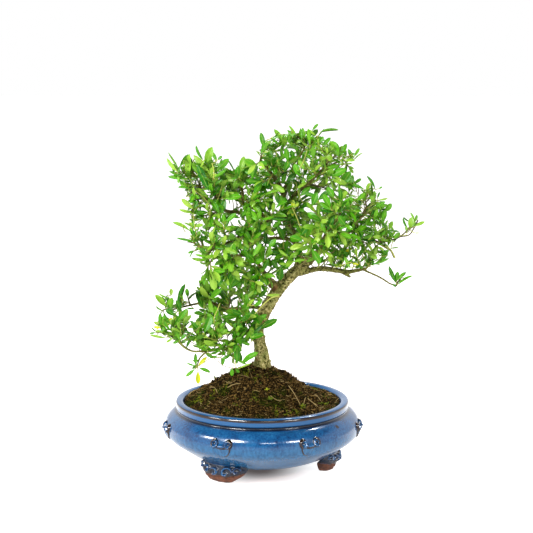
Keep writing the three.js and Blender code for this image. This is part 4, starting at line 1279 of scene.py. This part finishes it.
# a leaf's veins and the blotches in its green, which both of its faces show
leaf_pattern, _, result = group_with("leaf_pattern", [], ["Vein", "Blotch"])
spot = add_node(leaf_pattern, "ShaderNodeUVMap", uv_map="blade").outputs["UV"]
spot = add_node(leaf_pattern, "ShaderNodeSeparateXYZ", {"Vector": spot}).outputs
off_middle = calculate(leaf_pattern, "ABSOLUTE", calculate(leaf_pattern, "SUBTRACT", spot["X"], 0.5))
midrib = remapped(leaf_pattern, off_middle, midrib_edge, midrib_core, kind="LINEAR")
slant = calculate(leaf_pattern, "MULTIPLY_ADD", off_middle, vein_slant, spot["Y"])
wave = calculate(leaf_pattern, "SINE", calculate(leaf_pattern, "MULTIPLY", slant, vein_rhythm))
side_veins = remapped(leaf_pattern, wave, 0.75, 1, (0, 0.3), "LINEAR")
set_inputs(leaf_pattern, result, {
    "Vein": calculate(leaf_pattern, "MAXIMUM", midrib, side_veins),
    "Blotch": noise_over(leaf_pattern, object_place(leaf_pattern), 260, 3),
})


def leaf_finish(name, paleness, roughness, vein_share):
    """One face of the leaves: its green by the leaf's own tone, with blotches and paler veins."""
    made, tree, shader = new_material(name)
    pattern = add_node(tree, "ShaderNodeGroup", node_tree=leaf_pattern).outputs
    tone = varied_tone(tree, pattern["Blotch"], 0.3)
    green = add_ramp(tree, tone, (0.15, leaf_dark), (0.55, leaf_mid), (0.95, leaf_fresh), (1.12, leaf_yellow))
    green = mix_colour(tree, paleness, green, leaf_pale)
    vein = mix_value(tree, pattern["Vein"], 0.0, vein_share)
    set_inputs(tree, shader, {
        "Base Color": mix_colour(tree, vein, green, vein_green),
        "Roughness": roughness,
        "Specular IOR Level": 0.2,
        "Normal": bumped(tree, pattern["Vein"], 0.4, 0.0003, invert=True),
    })
    return made


leaf_upper = leaf_finish("leaf_upper", 0.0, 0.3, 0.45)
leaf_under = leaf_finish("leaf_under", 0.45, 0.6, 0.3)

twig_dark = (0.06, 0.045, 0.008)
twig_green = (0.15, 0.16, 0.022)
twig_tan = (0.36, 0.38, 0.06)
green_twig, tree, shader = new_material("green_twig")
fleck, _ = add_grain(tree, 500, 80)
tone = varied_tone(tree, fleck, 0.4)
set_inputs(tree, shader, {
    "Base Color": add_ramp(tree, tone, (0.3, twig_dark), (0.6, twig_green), (1.0, twig_tan)),
    "Roughness": 0.65,
    "Normal": bumped(tree, fleck, 0.4, 0.0003),
})

golden_turn = math.radians(137.5)
crown_heart = Vector((15, 12, 225))
between_shares = [0.3, 0.52, 0.76]
leaf_spacing = 4.2
limb_shoot_spacing = 5.5
twig_shoot_spacing = 6.5
branchlet_shoot_spacing = 7
yellow_share = 0.0012
plain_leaf_share = 0.25
outward_share = 1.1
twig_step = 2.2
picture_half = 266.5
picture_focus = 2 * picture_half * camera_data.lens / camera_data.sensor_width
viewer = (camera.location - pot_axis) * 1000
viewer_turn = camera.rotation_euler.to_matrix()


def seen_point(u, v, depth):
    """The place, at a depth behind the pot's axis, seen at a point of the picture 533 points wide."""
    way = viewer_turn @ Vector(((u - picture_half) / picture_focus, (picture_half - v) / picture_focus, -1))
    return viewer + way * ((depth - viewer.y) / way.y)


def picture_point(place):
    """Where a place shows in the picture, in points from its left and its top."""
    side = viewer_turn.inverted() @ (place - viewer)
    return picture_half - picture_focus * side.x / side.z, picture_half + picture_focus * side.y / side.z


crown_outline = [
    (240, 364), (228, 362), (218, 356), (207, 350), (193, 348), (181, 342), (168, 339), (157, 332),
    (157, 316), (166, 310), (158, 296), (168, 295), (172, 288), (175, 302), (182, 288), (184, 306),
    (194, 306), (196, 288), (201, 276), (208, 278), (201, 268), (197, 258), (198, 246), (187, 240),
    (190, 232), (180, 223), (190, 222), (187, 212), (183, 202), (188, 198), (180, 187), (171, 178),
    (171, 160), (178, 166), (184, 156), (192, 157), (197, 160), (205, 155), (211, 148), (215, 157),
    (228, 159), (234, 170), (242, 157), (250, 160), (257, 170), (260, 162), (262, 152), (260, 136),
    (268, 141), (276, 129), (285, 135), (292, 128), (299, 130), (305, 128), (313, 130), (319, 127),
    (322, 138), (330, 140), (340, 147), (346, 145), (351, 152), (357, 152), (352, 160), (345, 165),
    (351, 176), (359, 183), (365, 190), (370, 180), (376, 190), (379, 197), (384, 202), (391, 205),
    (389, 215), (391, 226), (399, 233), (406, 231), (409, 225), (412, 216), (417, 217), (416, 227),
    (409, 234), (397, 242), (390, 251), (385, 258), (371, 267), (355, 269), (340, 269), (318, 266),
    (305, 260), (292, 266), (285, 275), (278, 277), (272, 282), (275, 292), (268, 300), (258, 310),
    (264, 318), (270, 322), (260, 331), (252, 341), (243, 343), (240, 352), (248, 356),
]
# gaps in the crown that let the light through: each one's middle in the picture and its reach
crown_gaps = [
    (234, 203, 5), (203, 210, 4), (196, 175, 2), (234, 219, 4.5), (242, 222, 3.5), (253, 210, 3),
    (273, 226, 4), (269, 235, 3), (293, 243, 4), (285, 240, 2.5), (264, 267, 4.5), (266, 273, 2.5),
    (275, 282, 4), (295, 264, 3), (315, 242, 2.5), (321, 259, 3.5), (314, 265, 3.5), (329, 266, 2.5),
    (234, 297, 4), (235, 304, 3.5), (253, 302, 2.5), (286, 158, 3), (304, 166, 3.5), (306, 148, 3),
    (315, 185, 4), (322, 193, 3.5), (327, 186, 3), (323, 204, 3), (308, 210, 3), (328, 206, 2.5),
    (357, 194, 4.5), (350, 190, 3), (367, 206, 3.5), (361, 206, 3), (372, 216, 2.5), (366, 244, 2.5),
    (355, 246, 2.5), (362, 256, 3), (343, 261, 2.5), (195, 247, 4), (192, 256, 4), (349, 168, 4),
    (184, 292, 3.5), (188, 301, 3), (230, 325, 5), (229, 337, 5), (188, 325, 4), (192, 331, 4.5),
    (193, 321, 3), (211, 326, 3), (212, 340, 2.5), (217, 334, 2.5), (247, 349, 5), (231, 360, 4.5),
    (226, 358, 3), (219, 352, 2.5), (214, 166, 2), (209, 183, 2),
]
# leaves and shoots that stand out: foot and tip in the picture, the leaf's width there and its tone
marked_leaves = [
    (178, 172, 165.5, 159, 3, 0.65), (178.5, 168, 167.5, 152.5, 2, 0.5), (179, 168, 188.5, 154.5, 4, 0.3),
    (188, 177, 188, 155, 6, 0.6), (191, 171, 191, 157.5, 4.5, 0.05), (182, 176, 169, 171.5, 3, 0.3),
    (187, 178.5, 168, 176, 4.5, 0.35), (187, 186, 179, 180.5, 3, 0.35), (190, 189, 178, 186.5, 3, 0.3),
    (209, 172, 193.5, 155, 6, 0.65), (203, 160, 195.5, 145, 1.8, 0.3), (205, 165, 213, 147.5, 8, 0.55),
    (209, 191, 197, 165, 7, 0.02), (216, 171, 228.5, 158.5, 7, 0.4), (217.5, 160, 222, 156, 3, 0.3),
    (217, 160, 213.5, 155, 2, 0.2), (235, 173, 229, 159, 2.2, 0.2), (214, 178, 226, 170, 3, 0.35),
    (209, 200, 220, 184, 5.5, 0.12), (208, 198, 196.5, 188, 6, 0.6), (231, 183, 226, 167.5, 6, 0.6),
    (233, 190, 242, 173, 9, 0.5), (237, 178, 238, 166.5, 5.5, 0.25), (241, 172, 243, 156, 6, 0.55),
    (224, 199, 241, 195, 6, 0.4), (222, 197, 224, 188, 3, 0.2), (219, 214, 213, 200, 6, 0.22),
    (221, 214, 225, 200, 6, 0.05), (194, 209, 198, 201, 3.5, 0.05), (200, 202, 186, 200.5, 1.8, 0.25),
    (193, 209, 182, 199, 5, 0.72), (193, 213, 179, 210, 2.2, 0.65), (190, 231, 173, 221.5, 4, 0.6),
    (194, 227, 203, 224, 4, 0.65), (195, 229, 184, 222, 1.5, 0.6), (194, 237, 191.5, 228.5, 4, 0.1),
    (197, 239, 200, 231, 5, 0.45), (196, 241.5, 176, 238.5, 3.8, 0.25), (198, 239, 208, 238, 5, 0.1),
    (206, 219, 195, 215, 5, 0.2), (209, 228, 203, 217, 5, 0.6), (205, 253, 196, 247, 2, 0.55),
    (207, 257, 195, 254.5, 2, 0.45), (208, 260, 192, 259.5, 3, 0.55), (206, 254, 200, 248, 4, 0.15),
    (264, 148, 261, 132.5, 5, 0.2), (275, 147, 263, 140, 4, 0.5), (280, 145, 270.5, 138, 2.6, 0.2),
    (283, 143, 275.5, 129, 5, 0.5), (257, 171, 246, 158, 8.5, 0.5), (285, 147, 284, 134, 6, 0.55),
    (292, 146, 288, 134, 6, 0.45), (297, 136, 289, 125.5, 2.2, 0.55), (296, 138, 287, 130, 2.5, 0.3),
    (302, 141, 300, 128, 3, 0.3), (304, 138, 303, 127.5, 3, 0.4), (310, 145, 308, 128.5, 4, 0.45),
    (316, 136, 308, 129, 2.5, 0.6), (312, 131, 318.5, 124, 3, 0.4), (318, 137, 325, 128, 1.5, 0.3),
    (320, 132, 339, 129, 1.2, 0.3), (319, 143, 324, 137, 4, 0.25), (322, 146, 331, 138, 4, 0.3),
    (340, 150, 331, 141, 6, 0.45), (339, 157, 333, 143, 6, 0.45), (340, 156, 347, 143.5, 4.5, 0.3),
    (353, 160, 348.5, 149, 4, 0.35), (354, 157, 359.5, 148, 3, 0.45), (354, 160, 361.5, 151.5, 1.5, 0.6),
    (344, 160, 355, 160, 3, 0.6), (345, 163.5, 352.5, 164, 1.3, 0.55), (330, 176, 346, 168.5, 7, 0.35),
    (291, 209, 282, 206.5, 2.5, 0.8), (292, 209, 294, 200, 4, 0.82), (293, 210, 287, 214, 3, 0.8),
    (294, 208, 299, 203, 3, 0.78), (292, 211, 293, 216, 2.5, 0.8), (341, 186, 350, 172, 8, 0.25),
    (349, 192, 352, 175, 6, 0.35), (354, 184, 361, 178.5, 3.5, 0.3), (364, 189, 353, 184, 3, 0.2),
    (375, 189, 369, 175.5, 3.2, 0.2), (366, 190, 368.5, 183, 2, 0.55), (371, 188, 365, 191, 3, 0.55),
    (372, 203, 374, 191, 6, 0.5), (379, 189, 382, 186.5, 3, 0.4), (377, 199, 380, 192, 2, 0.1),
    (378, 200, 388, 198.5, 1.8, 0.65), (374, 208, 384.5, 201.5, 4.5, 0.3), (385, 212, 391.5, 203.5, 6, 0.4),
    (374, 222, 378, 209, 4, 0.45), (383, 222, 385, 210, 5, 0.4), (389, 230, 392, 221, 4.5, 0.55),
    (391, 231, 399, 231, 2, 0.1), (394, 239, 399.5, 232, 6, 0.45), (408, 229, 403, 217.5, 2, 0.2),
    (410, 222, 403.5, 217, 1.5, 0.2), (410, 229, 412, 217.5, 7, 0.6), (415, 220, 410.5, 212.5, 2, 0.5),
    (415, 222, 417.5, 215, 3, 0.5), (415, 226, 424.5, 221.5, 3.5, 0.6), (414, 233, 420, 233, 1.2, 0.65),
    (407, 233, 406, 226, 2.5, 0.55), (390, 249, 399, 247, 2, 0.55), (380, 262, 388, 253, 3.5, 0.3),
    (371, 265, 390, 259.5, 1.6, 0.4), (396, 283, 389, 267.5, 3.8, 0.05), (396, 281, 397.5, 271.5, 4.5, 0.2),
    (396.5, 281, 404, 272, 3, 0.4), (397.5, 285, 411.5, 273.5, 3.5, 0.4),
    (392, 284, 396.5, 286.5, 2.5, 0.1), (345, 252, 352, 249, 3, 1), (352, 264, 359, 264, 2.5, 1),
    (331, 241, 341, 231, 5, 0.05), (341, 258, 328, 249, 5, 0.2), (260, 231, 254, 216.5, 5.5, 0.1),
    (270, 219.5, 286, 218.5, 3.8, 0.05), (260, 234, 270, 222.5, 4.5, 0.25), (289, 257, 278, 250, 2.5, 0.6),
    (289, 258, 298, 252, 4, 0.55), (289, 264, 279, 264, 2.5, 0.6), (289, 270, 275, 258, 6, 0.15),
    (281, 266, 279, 281, 8, 0.15), (281, 255, 268, 252, 5, 0.03), (292, 262, 305, 259, 3, 0.55),
    (252, 258, 261, 243, 5, 0.45), (250, 252, 234, 241, 5, 0.55), (249, 259, 241, 250, 5, 0.25),
    (266, 246, 265, 232, 4, 0.08), (303, 242, 290, 236, 7, 0.25), (320, 250, 309, 244, 6, 0.22),
    (318, 235, 316, 224, 4, 0.65), (327, 231, 334, 216, 5, 0.08), (322, 228, 330, 219, 4, 0.12),
    (252, 269, 240, 262, 5, 0.5), (229, 290, 235, 273, 8, 0.3), (229, 291, 216, 279, 7, 0.55),
    (227, 302, 213, 282, 5, 0.1), (204, 306, 203, 282, 3.5, 0.65), (203, 307, 197, 290, 7, 0.06),
    (204, 290, 202, 275, 5, 0.22), (206, 303, 213, 282, 9, 0.15), (166, 307, 156.5, 294.5, 6, 0.6),
    (170, 298, 158, 295, 1.5, 0.5), (171, 296, 171.5, 288.5, 4.5, 0.68), (168, 309, 172, 298, 7, 0.45),
    (179, 310, 184.5, 284, 3.6, 0.08), (181, 312, 177, 300, 5, 0.08), (183, 300, 181, 294, 2.5, 0.5),
    (175, 316, 166, 309, 5, 0.06), (174, 326, 186, 309, 5, 0.3), (170, 324, 164, 315, 3, 0.2),
    (160, 325, 160, 313, 4, 0.3), (172, 317.5, 169, 321, 3.5, 1), (161, 328, 153.5, 327, 3, 0.98),
    (168, 333, 161, 325, 4.5, 0.35), (168, 334, 155, 329, 3, 0.68), (167, 338, 149, 336, 1.6, 0.62),
    (173, 338, 166, 342.5, 2.5, 0.62), (179, 341, 173, 343, 3, 0.2), (182, 337, 171, 328, 7, 0.6),
    (187, 340, 189, 332, 4, 0.06), (195, 309, 187, 308.5, 2, 0.25), (205, 315, 194, 312, 5, 0.25),
    (200, 332, 191, 320, 4, 0.06), (204, 333, 212, 316, 7, 0.2), (203, 313, 214, 308, 5, 0.5),
    (204, 318, 197, 327, 3.5, 0.4), (204, 348, 195, 336, 6, 0.5), (220, 349, 233, 349, 4.5, 0.4),
    (223, 345, 217, 346, 2.5, 0.98), (222, 366, 224, 357, 4, 0.25), (237, 364, 237, 346, 6.5, 0.15),
    (242, 362, 257, 351.5, 6, 0.38), (232, 368, 232, 376, 4, 0.35), (235, 368, 239, 373, 3, 0.2),
    (238, 369, 251, 362, 2, 0.75), (196, 366, 195, 353.5, 3.6, 0.25), (198, 366, 206.5, 357, 3.6, 1),
    (199, 368, 210.5, 371.5, 3.8, 0.3), (198, 371, 197.5, 384, 5, 0.96), (195, 369, 185.5, 376.5, 3.5, 0.4),
    (196, 365.5, 186, 363.5, 1.2, 0.4), (248, 330, 262, 319, 6, 0.22), (256, 330, 278, 320, 7, 0.18),
    (250, 325, 267, 314, 6, 0.3), (247, 339, 263.5, 333.5, 6, 0.2), (240, 341, 250, 344.5, 4, 0.2),
    (243, 327, 233, 325, 6, 0.22), (242, 322, 250, 313, 5, 0.22), (266, 295, 280, 295, 2.5, 0.7),
    (224, 335, 226, 328, 4, 0.08), (214, 358, 206, 353, 4, 0.25), (212, 350, 204, 346, 3.5, 0.35),
    (222, 352, 213, 349, 3.5, 0.4), (218, 357, 210, 357, 3, 0.3), (238, 360, 246, 364, 3, 0.3),
    (226, 222, 236, 213, 4.5, 0.3), (240, 218, 230, 215, 4, 0.2), (272, 228, 280, 221, 4, 0.35),
    (284, 226, 275, 222, 3.5, 0.5), (262, 272, 268, 259, 5, 0.2), (272, 268, 264, 258, 5, 0.4),
    (342, 262, 350, 250, 4, 0.35), (348, 258, 341, 248, 4, 0.2), (306, 262, 315, 257, 3.5, 0.5),
    (318, 264, 324, 256, 3.5, 0.2), (388, 246, 391, 234, 4.5, 0.4), (394, 238, 387, 230, 4, 0.25),
    (284, 172, 290, 161, 6, 0.2), (300, 176, 294, 164, 6.5, 0.35), (286, 182, 296, 174, 6, 0.1),
    (304, 170, 299, 160, 5, 0.5), (312, 206, 318, 193, 7, 0.2), (330, 208, 324, 194, 6.5, 0.35),
    (318, 200, 330, 190, 6, 0.1), (334, 198, 328, 187, 6, 0.3), (346, 226, 338, 216, 6.5, 0.2),
    (300, 196, 310, 187, 6, 0.25), (280, 206, 277, 192, 6, 0.15), (284, 206, 280, 196, 4.5, 0.35),
    (288, 162, 286, 148, 5.5, 0.3), (293, 162, 292, 150, 5, 0.15), (282, 184, 285, 173, 5, 0.3),
    (300, 190, 294, 179, 5.5, 0.12), (284, 240, 277, 226, 6, 0.2), (279, 236, 287, 227, 5, 0.35),
    (278, 248, 267, 240, 6, 0.1), (268, 248, 276, 239, 5, 0.3), (278, 270, 272, 259, 5.5, 0.2),
    (271, 266, 279, 260, 4.5, 0.4), (344, 270, 352, 259, 4, 0.3), (350, 268, 345, 257, 4, 0.45),
    (318, 198, 305, 192, 5, 0.2), (331, 210, 320, 202, 5, 0.3), (327, 168, 340, 165, 4.5, 0.35),
    (380, 256, 389, 250, 4, 0.35), (388, 256, 380, 248, 3.5, 0.15), (258, 298, 266, 290, 5, 0.2),
    (254, 306, 262, 302, 4.5, 0.3), (210, 354, 218, 352, 3, 0.25), (221, 360, 230, 355, 3.5, 0.2),
    (243, 363, 250, 358, 3.5, 0.25), (180, 340, 186, 334, 3.5, 0.2), (360, 222, 352, 212, 5, 0.15),
    (300, 236, 308, 226, 6, 0.1), (318, 220, 308, 212, 6.5, 0.3), (286, 222, 296, 212, 6, 0.2),
    (340, 212, 348, 201, 5.5, 0.2),
]
# bare shoots: their places in the picture, their thickness and tone
marked_shoots = [
    ([(385, 246), (391, 250), (395, 258)], 0.8, 0.6),
    ([(255, 314), (262, 306), (271, 298), (279, 296)], 0.8, 0.9),
    ([(212, 355), (200, 352), (190, 351), (183, 347), (178, 342)], 0.5, 0.4),
    ([(212, 357), (206, 361), (197, 367), (195.5, 368)], 0.5, 0.5),
    ([(212, 357), (219, 362), (224, 366), (232, 368), (240, 368.5)], 0.45, 0.3),
    ([(220, 303), (217, 311), (214, 318), (215, 326)], 0.6, 0.85),
    ([(204, 282), (205, 295), (204, 309)], 0.5, 0.9), ([(292, 207), (297, 218), (300, 226)], 0.6, 0.85),
    ([(296, 197), (298, 207), (300, 218)], 0.5, 0.8),
    ([(376, 196), (371, 204), (367, 213), (357, 222), (352, 228)], 0.6, 0.35),
    ([(364, 190), (364, 205), (366, 212)], 0.6, 0.2),
    ([(394, 240), (400, 237), (409, 235), (414, 228), (418, 220)], 0.7, 0.1),
    ([(400, 237), (406, 232), (411, 227)], 0.6, 0.2),
    ([(186, 189), (190, 197), (194, 203), (193, 213)], 0.6, 0.3),
    ([(194, 190), (203, 197), (210, 207), (209, 220)], 0.6, 0.5),
    ([(193, 213), (194, 222), (197, 239)], 0.5, 0.8),
    ([(180, 318), (183, 330), (190, 341), (197, 345)], 0.5, 0.2),
    ([(212, 163), (214, 172), (213, 180)], 0.6, 0.9), ([(362, 237), (375, 242), (388, 249)], 0.9, 0.7),
    ([(345, 270), (350, 262), (356, 252), (362, 243)], 0.6, 0.5),
    ([(322, 266), (327, 258), (335, 250)], 0.6, 0.3), ([(372, 268), (366, 262), (362, 254)], 0.5, 0.6),
    ([(309, 263), (315, 268)], 0.6, 0.2), ([(318, 268), (325, 262), (330, 255)], 0.5, 0.4),
    ([(333, 268), (345, 264), (352, 262)], 0.5, 0.7), ([(300, 214), (304, 206), (310, 200)], 0.5, 0.8),
    ([(296, 182), (298, 192), (303, 203)], 0.5, 0.6), ([(276, 150), (277, 160), (280, 172)], 0.6, 0.8),
    ([(307, 150), (304, 160), (299, 170)], 0.5, 0.7), ([(222, 186), (219, 196), (214, 207)], 0.5, 0.8),
    ([(228, 345), (236, 335), (248, 330)], 0.5, 0.6), ([(206, 318), (212, 330), (222, 342)], 0.5, 0.3),
    ([(214, 357), (226, 350), (240, 344)], 0.6, 0.5), ([(186, 337), (196, 330), (206, 322)], 0.5, 0.4),
]
gap_softness = 1.1
stray_leaf_size = 0.55
leaf_natural_width = 0.38
marked_forward = 4
front_depth = -60
depth_weight = 0.12


def in_outline(u, v):
    """Whether a point of the picture lies inside the crown's outline."""
    inside = False
    for (from_u, from_v), (to_u, to_v) in zip(crown_outline, crown_outline[1:] + crown_outline[:1]):
        if (from_v > v) != (to_v > v) and u < from_u + (to_u - from_u) * (v - from_v) / (to_v - from_v):
            inside = not inside
    return inside


def in_crown(place):
    """Whether a place shows inside the crown's outline and outside its gaps."""
    u, v = picture_point(place)
    clear = all(math.hypot(u - gap_u, v - gap_v) > reach - gap_softness for gap_u, gap_v, reach in crown_gaps)
    return clear and in_outline(u, v)


def leaf_in_crown(matrix):
    """Whether a whole leaf shows inside the crown, from near its foot to its tip."""
    return all(in_crown(matrix @ Vector((0, along, 0))) for along in (0.4, 0.7, 1))


def add_leaf(target, matrix, tone, chance, widest=1.1):
    """Adds a leaf in one of the shapes, a little uneven in width."""
    shape = leaf_shapes[0] if chance.random() < plain_leaf_share else chance.choice(leaf_shapes[1:])
    wide = Matrix.Diagonal((chance.uniform(0.85, widest), 1, 1, 1))
    add_copy(target, shape, matrix @ wide, tone)


def note_stem(path):
    """Keeps a stem's places, from which the marked leaves later grow."""
    for before, after in zip(path, path[1:]):
        stem_places.extend([before, before.lerp(after, 0.5)])
    stem_places.append(path[-1])


def leaf_tone(chance, freshness):
    """A leaf's tone from dark 0 to yellow 1: mostly mid green, a few fresh ones, and rare yellow ones."""
    if chance.random() < yellow_share:
        return 0.95
    return min(max(chance.gauss(0.34 + 0.22 * freshness, 0.2), 0), 0.74)


def face_outward(matrix, place):
    """Turns a leaf about its own length, part of the way toward the light outside the crown."""
    along = matrix.col[1].to_3d()
    size = along.length
    along.normalize()
    normal = matrix.col[2].to_3d().normalized() + outward_share * (place - crown_heart).normalized()
    normal = square_to(normal + Vector((0, 0, 0.3)), along)
    turned = turned_to(along.cross(normal), along, normal)
    return Matrix.Translation(matrix.translation) @ turned @ Matrix.Scale(size, 4)


def grow_shoot(target, start, way, length, leaf_length, chance, freshness):
    """A slender side shoot that bows upward, with leaves set round it from near its foot to its tip."""
    for shorter in (1, 0.75, 0.5, 0.3, 0):
        end = start + way * (shorter * length) + Vector((0, 0, 0.12 * shorter * length))
        if in_crown(end):
            break
    if shorter == 0:
        return
    length = shorter * length
    middle = start + way * (0.5 * length) + Vector([chance.uniform(-0.06, 0.06) * length for _ in range(3)])
    side = way.cross(Vector((0.3, 0.2, 1))).normalized()
    shoot = {"path": [start, middle, end], "bow": side}
    add_stem(target, shoot["path"], [0.5, 0.42, 0.3], 5, side, chance.uniform(0.35, 0.9), 2)
    note_stem(shoot["path"])
    angle = chance.uniform(0, 2 * math.pi)
    count = max(round(length / leaf_spacing), 2)
    for index in range(count + 1):
        share = (index + 1) / (count + 1)
        angle += golden_turn
        size = leaf_length * chance.uniform(0.6, 1.12) * (1 - 0.25 * (index == 0))
        pitch = 1.15 - 0.65 * share + chance.uniform(-0.15, 0.15) if index < count else 0.12
        matrix = leaf_frame(shoot, share, angle, chance.uniform(-0.5, 0.5), size, pitch)
        matrix = face_outward(matrix, start)
        tone = leaf_tone(chance, freshness + 0.25 * share)
        if leaf_in_crown(matrix):
            add_leaf(target, matrix, tone, chance, 1.05)


def grow_branchlet(target, reach, leaf_length, chance, freshness):
    """A longer shoot from the nearest limb out to a place, with side shoots of its own."""
    _, index, away = nearest_limb.find(reach)
    start = limb_samples[index][0]
    way = (reach - start).normalized()
    grow_shoot(target, start, way, away, leaf_length, chance, freshness)
    side = way.cross(Vector((0.2, 0.3, 1))).normalized()
    angle = chance.uniform(0, 2 * math.pi)
    shoots = max(round(away / branchlet_shoot_spacing), 2)
    for index in range(shoots):
        angle += golden_turn
        seat = start + way * (away * (0.3 + 0.6 * index / shoots))
        outward = side * math.cos(angle) + way.cross(side) * math.sin(angle)
        turned = (way * chance.uniform(0.3, 0.9) + outward + Vector((0, 0, 0.25))).normalized()
        grow_shoot(target, seat, turned, chance.uniform(8, 15), leaf_length, chance, freshness)


def nearest_spray(place):
    """The number of the listed spray that reaches nearest to a place."""
    spans = [min((Vector(reach) - place).length for reach in spray[3]) for spray in sprays]
    return spans.index(min(spans))


fillings = [(nearest_spray(Vector(reach)), Vector(reach)) for reach in filling_reaches]
grown = []
stem_owners = []
stem_places = []
for number, (limb, share, leaf_length, reaches) in enumerate(sprays):
    node = f"spray_{number + 1:02d}"
    points = packed_points(node)
    draw = seeded_random(number + 1)
    chance = random.Random(500 + number)
    freshness = chance.random()
    fullness = lean_sprays.get(number + 1, 1)
    spray = bmesh.new()
    spray.verts.layers.float.new("tone")
    spray.loops.layers.uv.new("blade")
    limb_root = point_along([Vector(place[:3]) for place in limbs[limb]], share)
    twigs = []
    for order, reach in enumerate(reaches):
        root = point_along(twigs[0]["path"], fork_share) if order else limb_root
        twig = lay_twig(root, Vector(reach), leaf_length, order, draw, points)
        twigs.append(twig)
        corners = [Vector((*place, radius)) for place, radius in zip(twig["path"], twig["radii"])]
        line = curve_through(corners, twig_step)
        path = [place.to_3d() for place in line]
        add_stem(spray, path, [place[3] for place in line], 6, twig["bow"], chance.uniform(0.1, 0.5), 2)
        note_stem(path)
        for matrix in twig["leaves"]:
            if not in_crown(matrix @ Vector((0, 1, 0))):
                matrix = matrix @ Matrix.Scale(stray_leaf_size, 4)
            add_leaf(spray, matrix, leaf_tone(chance, freshness), chance)
        if not fullness:
            continue
        angle = chance.uniform(0, 2 * math.pi)
        for seat in between_shares:
            angle += golden_turn
            length = leaf_length * chance.uniform(0.65, 0.95)
            pitch = 1.15 - 0.5 * seat
            matrix = leaf_frame(twig, seat, angle, chance.uniform(-0.6, 0.6), length, pitch)
            matrix = face_outward(matrix, limb_root)
            if leaf_in_crown(matrix):
                add_leaf(spray, matrix, leaf_tone(chance, freshness), chance)
        twig_length = (path[-1] - path[0]).length
        shoots = max(round(fullness * twig_length / twig_shoot_spacing), 2)
        for index in range(shoots):
            angle += golden_turn
            seat = 0.22 + 0.74 * (index + chance.random()) / shoots
            side = leaf_frame(twig, seat, angle, 0, 1, chance.uniform(0.55, 1.15))
            way = side.col[1].to_3d() + Vector((0, 0, chance.uniform(-0.15, 0.5)))
            length = chance.uniform(7, 17) * (1.1 - 0.5 * seat)
            grow_shoot(spray, side.translation, way.normalized(), length, leaf_length, chance, freshness)
    limb_line = [Vector(place[:3]) for place in limbs[limb]]
    limb_length = sum(span_lengths(limb_line))
    nearest_share = max([other for name, other, *_ in sprays if name == limb and other < share] + [0.22])
    shoots = round(fullness * (share - nearest_share) * limb_length / limb_shoot_spacing)
    for index in range(shoots):
        seat = share + (nearest_share - share) * (index + chance.random()) / shoots
        start = point_along(limb_line, seat)
        onward = (point_along(limb_line, min(seat + 0.05, 1)) - start + Vector((0, 0, 0.01))).normalized()
        outward = Vector([chance.gauss(0, 1) for _ in range(3)])
        way = onward * chance.uniform(0.1, 0.7) + square_to(outward, onward)
        way = (way + Vector((0, 0, chance.uniform(0, 1)))).normalized()
        length = chance.uniform(10, 26)
        grow_shoot(spray, start, way, length, leaf_length, chance, freshness)
    for owner, reach in fillings:
        if owner == number:
            grow_branchlet(spray, reach, leaf_length, chance, freshness)
    grown.append(spray)
    stem_owners.extend([number] * (len(stem_places) - len(stem_owners)))

# the shoots and leaves that stand out start from the nearest twig that shows in front
chance = random.Random(77)
nearest_stem = finder_of([Vector((*picture_point(place), depth_weight * place.y)) for place in stem_places])


def stem_behind(u, v):
    """The number of the twig's place that shows nearest to a point of the picture, the front ones first."""
    return nearest_stem.find(Vector((u, v, depth_weight * front_depth)))[1]


for marks, radius, tone in marked_shoots:
    index = stem_behind(*marks[-1])
    depth = stem_places[index].y - marked_forward
    path = curve_through([seen_point(u, v, depth) for u, v in marks], 2)
    radii = [radius * (0.6 + 0.4 * step / len(path)) for step in range(len(path))]
    add_stem(grown[stem_owners[index]], path, radii, 6, Vector((0.3, 0.9, 0.1)), tone, 2)
for from_u, from_v, to_u, to_v, width, tone in marked_leaves:
    index = stem_behind(from_u, from_v)
    place = stem_places[index]
    target = grown[stem_owners[index]]
    foot = seen_point(from_u, from_v, place.y - marked_forward)
    long = math.hypot(to_u - from_u, to_v - from_v)
    tip = seen_point(to_u, to_v, foot.y + chance.uniform(-0.3, 0.2) * long)
    along = tip - foot
    size = along.length
    along.normalize()
    normal = square_to((viewer - foot).normalized() + Vector((0, 0, 0.35)), along)
    share = width / (leaf_natural_width * size)
    wide = min(max(share, 0.62), 1.4)
    roll = math.acos(min(share / wide, 1)) + chance.uniform(-0.2, 0.2)
    normal = Quaternion(along, chance.choice([-1, 1]) * roll) @ normal
    turned = turned_to(along.cross(normal), along, normal)
    matrix = Matrix.Translation(foot) @ turned @ Matrix.Diagonal((size * wide, size, size, 1))
    add_copy(target, chance.choice(leaf_shapes), matrix, tone)
    if (place - foot).length > 1:
        middle = place.lerp(foot, 0.5) + Vector((0, 0, -0.08 * (place - foot).length))
        add_stem(target, [place, middle, foot + along], [0.45, 0.4, 0.3], 5, along.cross(normal), 0.8, 2)
for number, spray in enumerate(grown):
    node = f"spray_{number + 1:02d}"
    place_piece(f"leafy_{node}", spray, [leaf_upper, leaf_under, green_twig], [node])
bpy.data.meshes.remove(scratch)
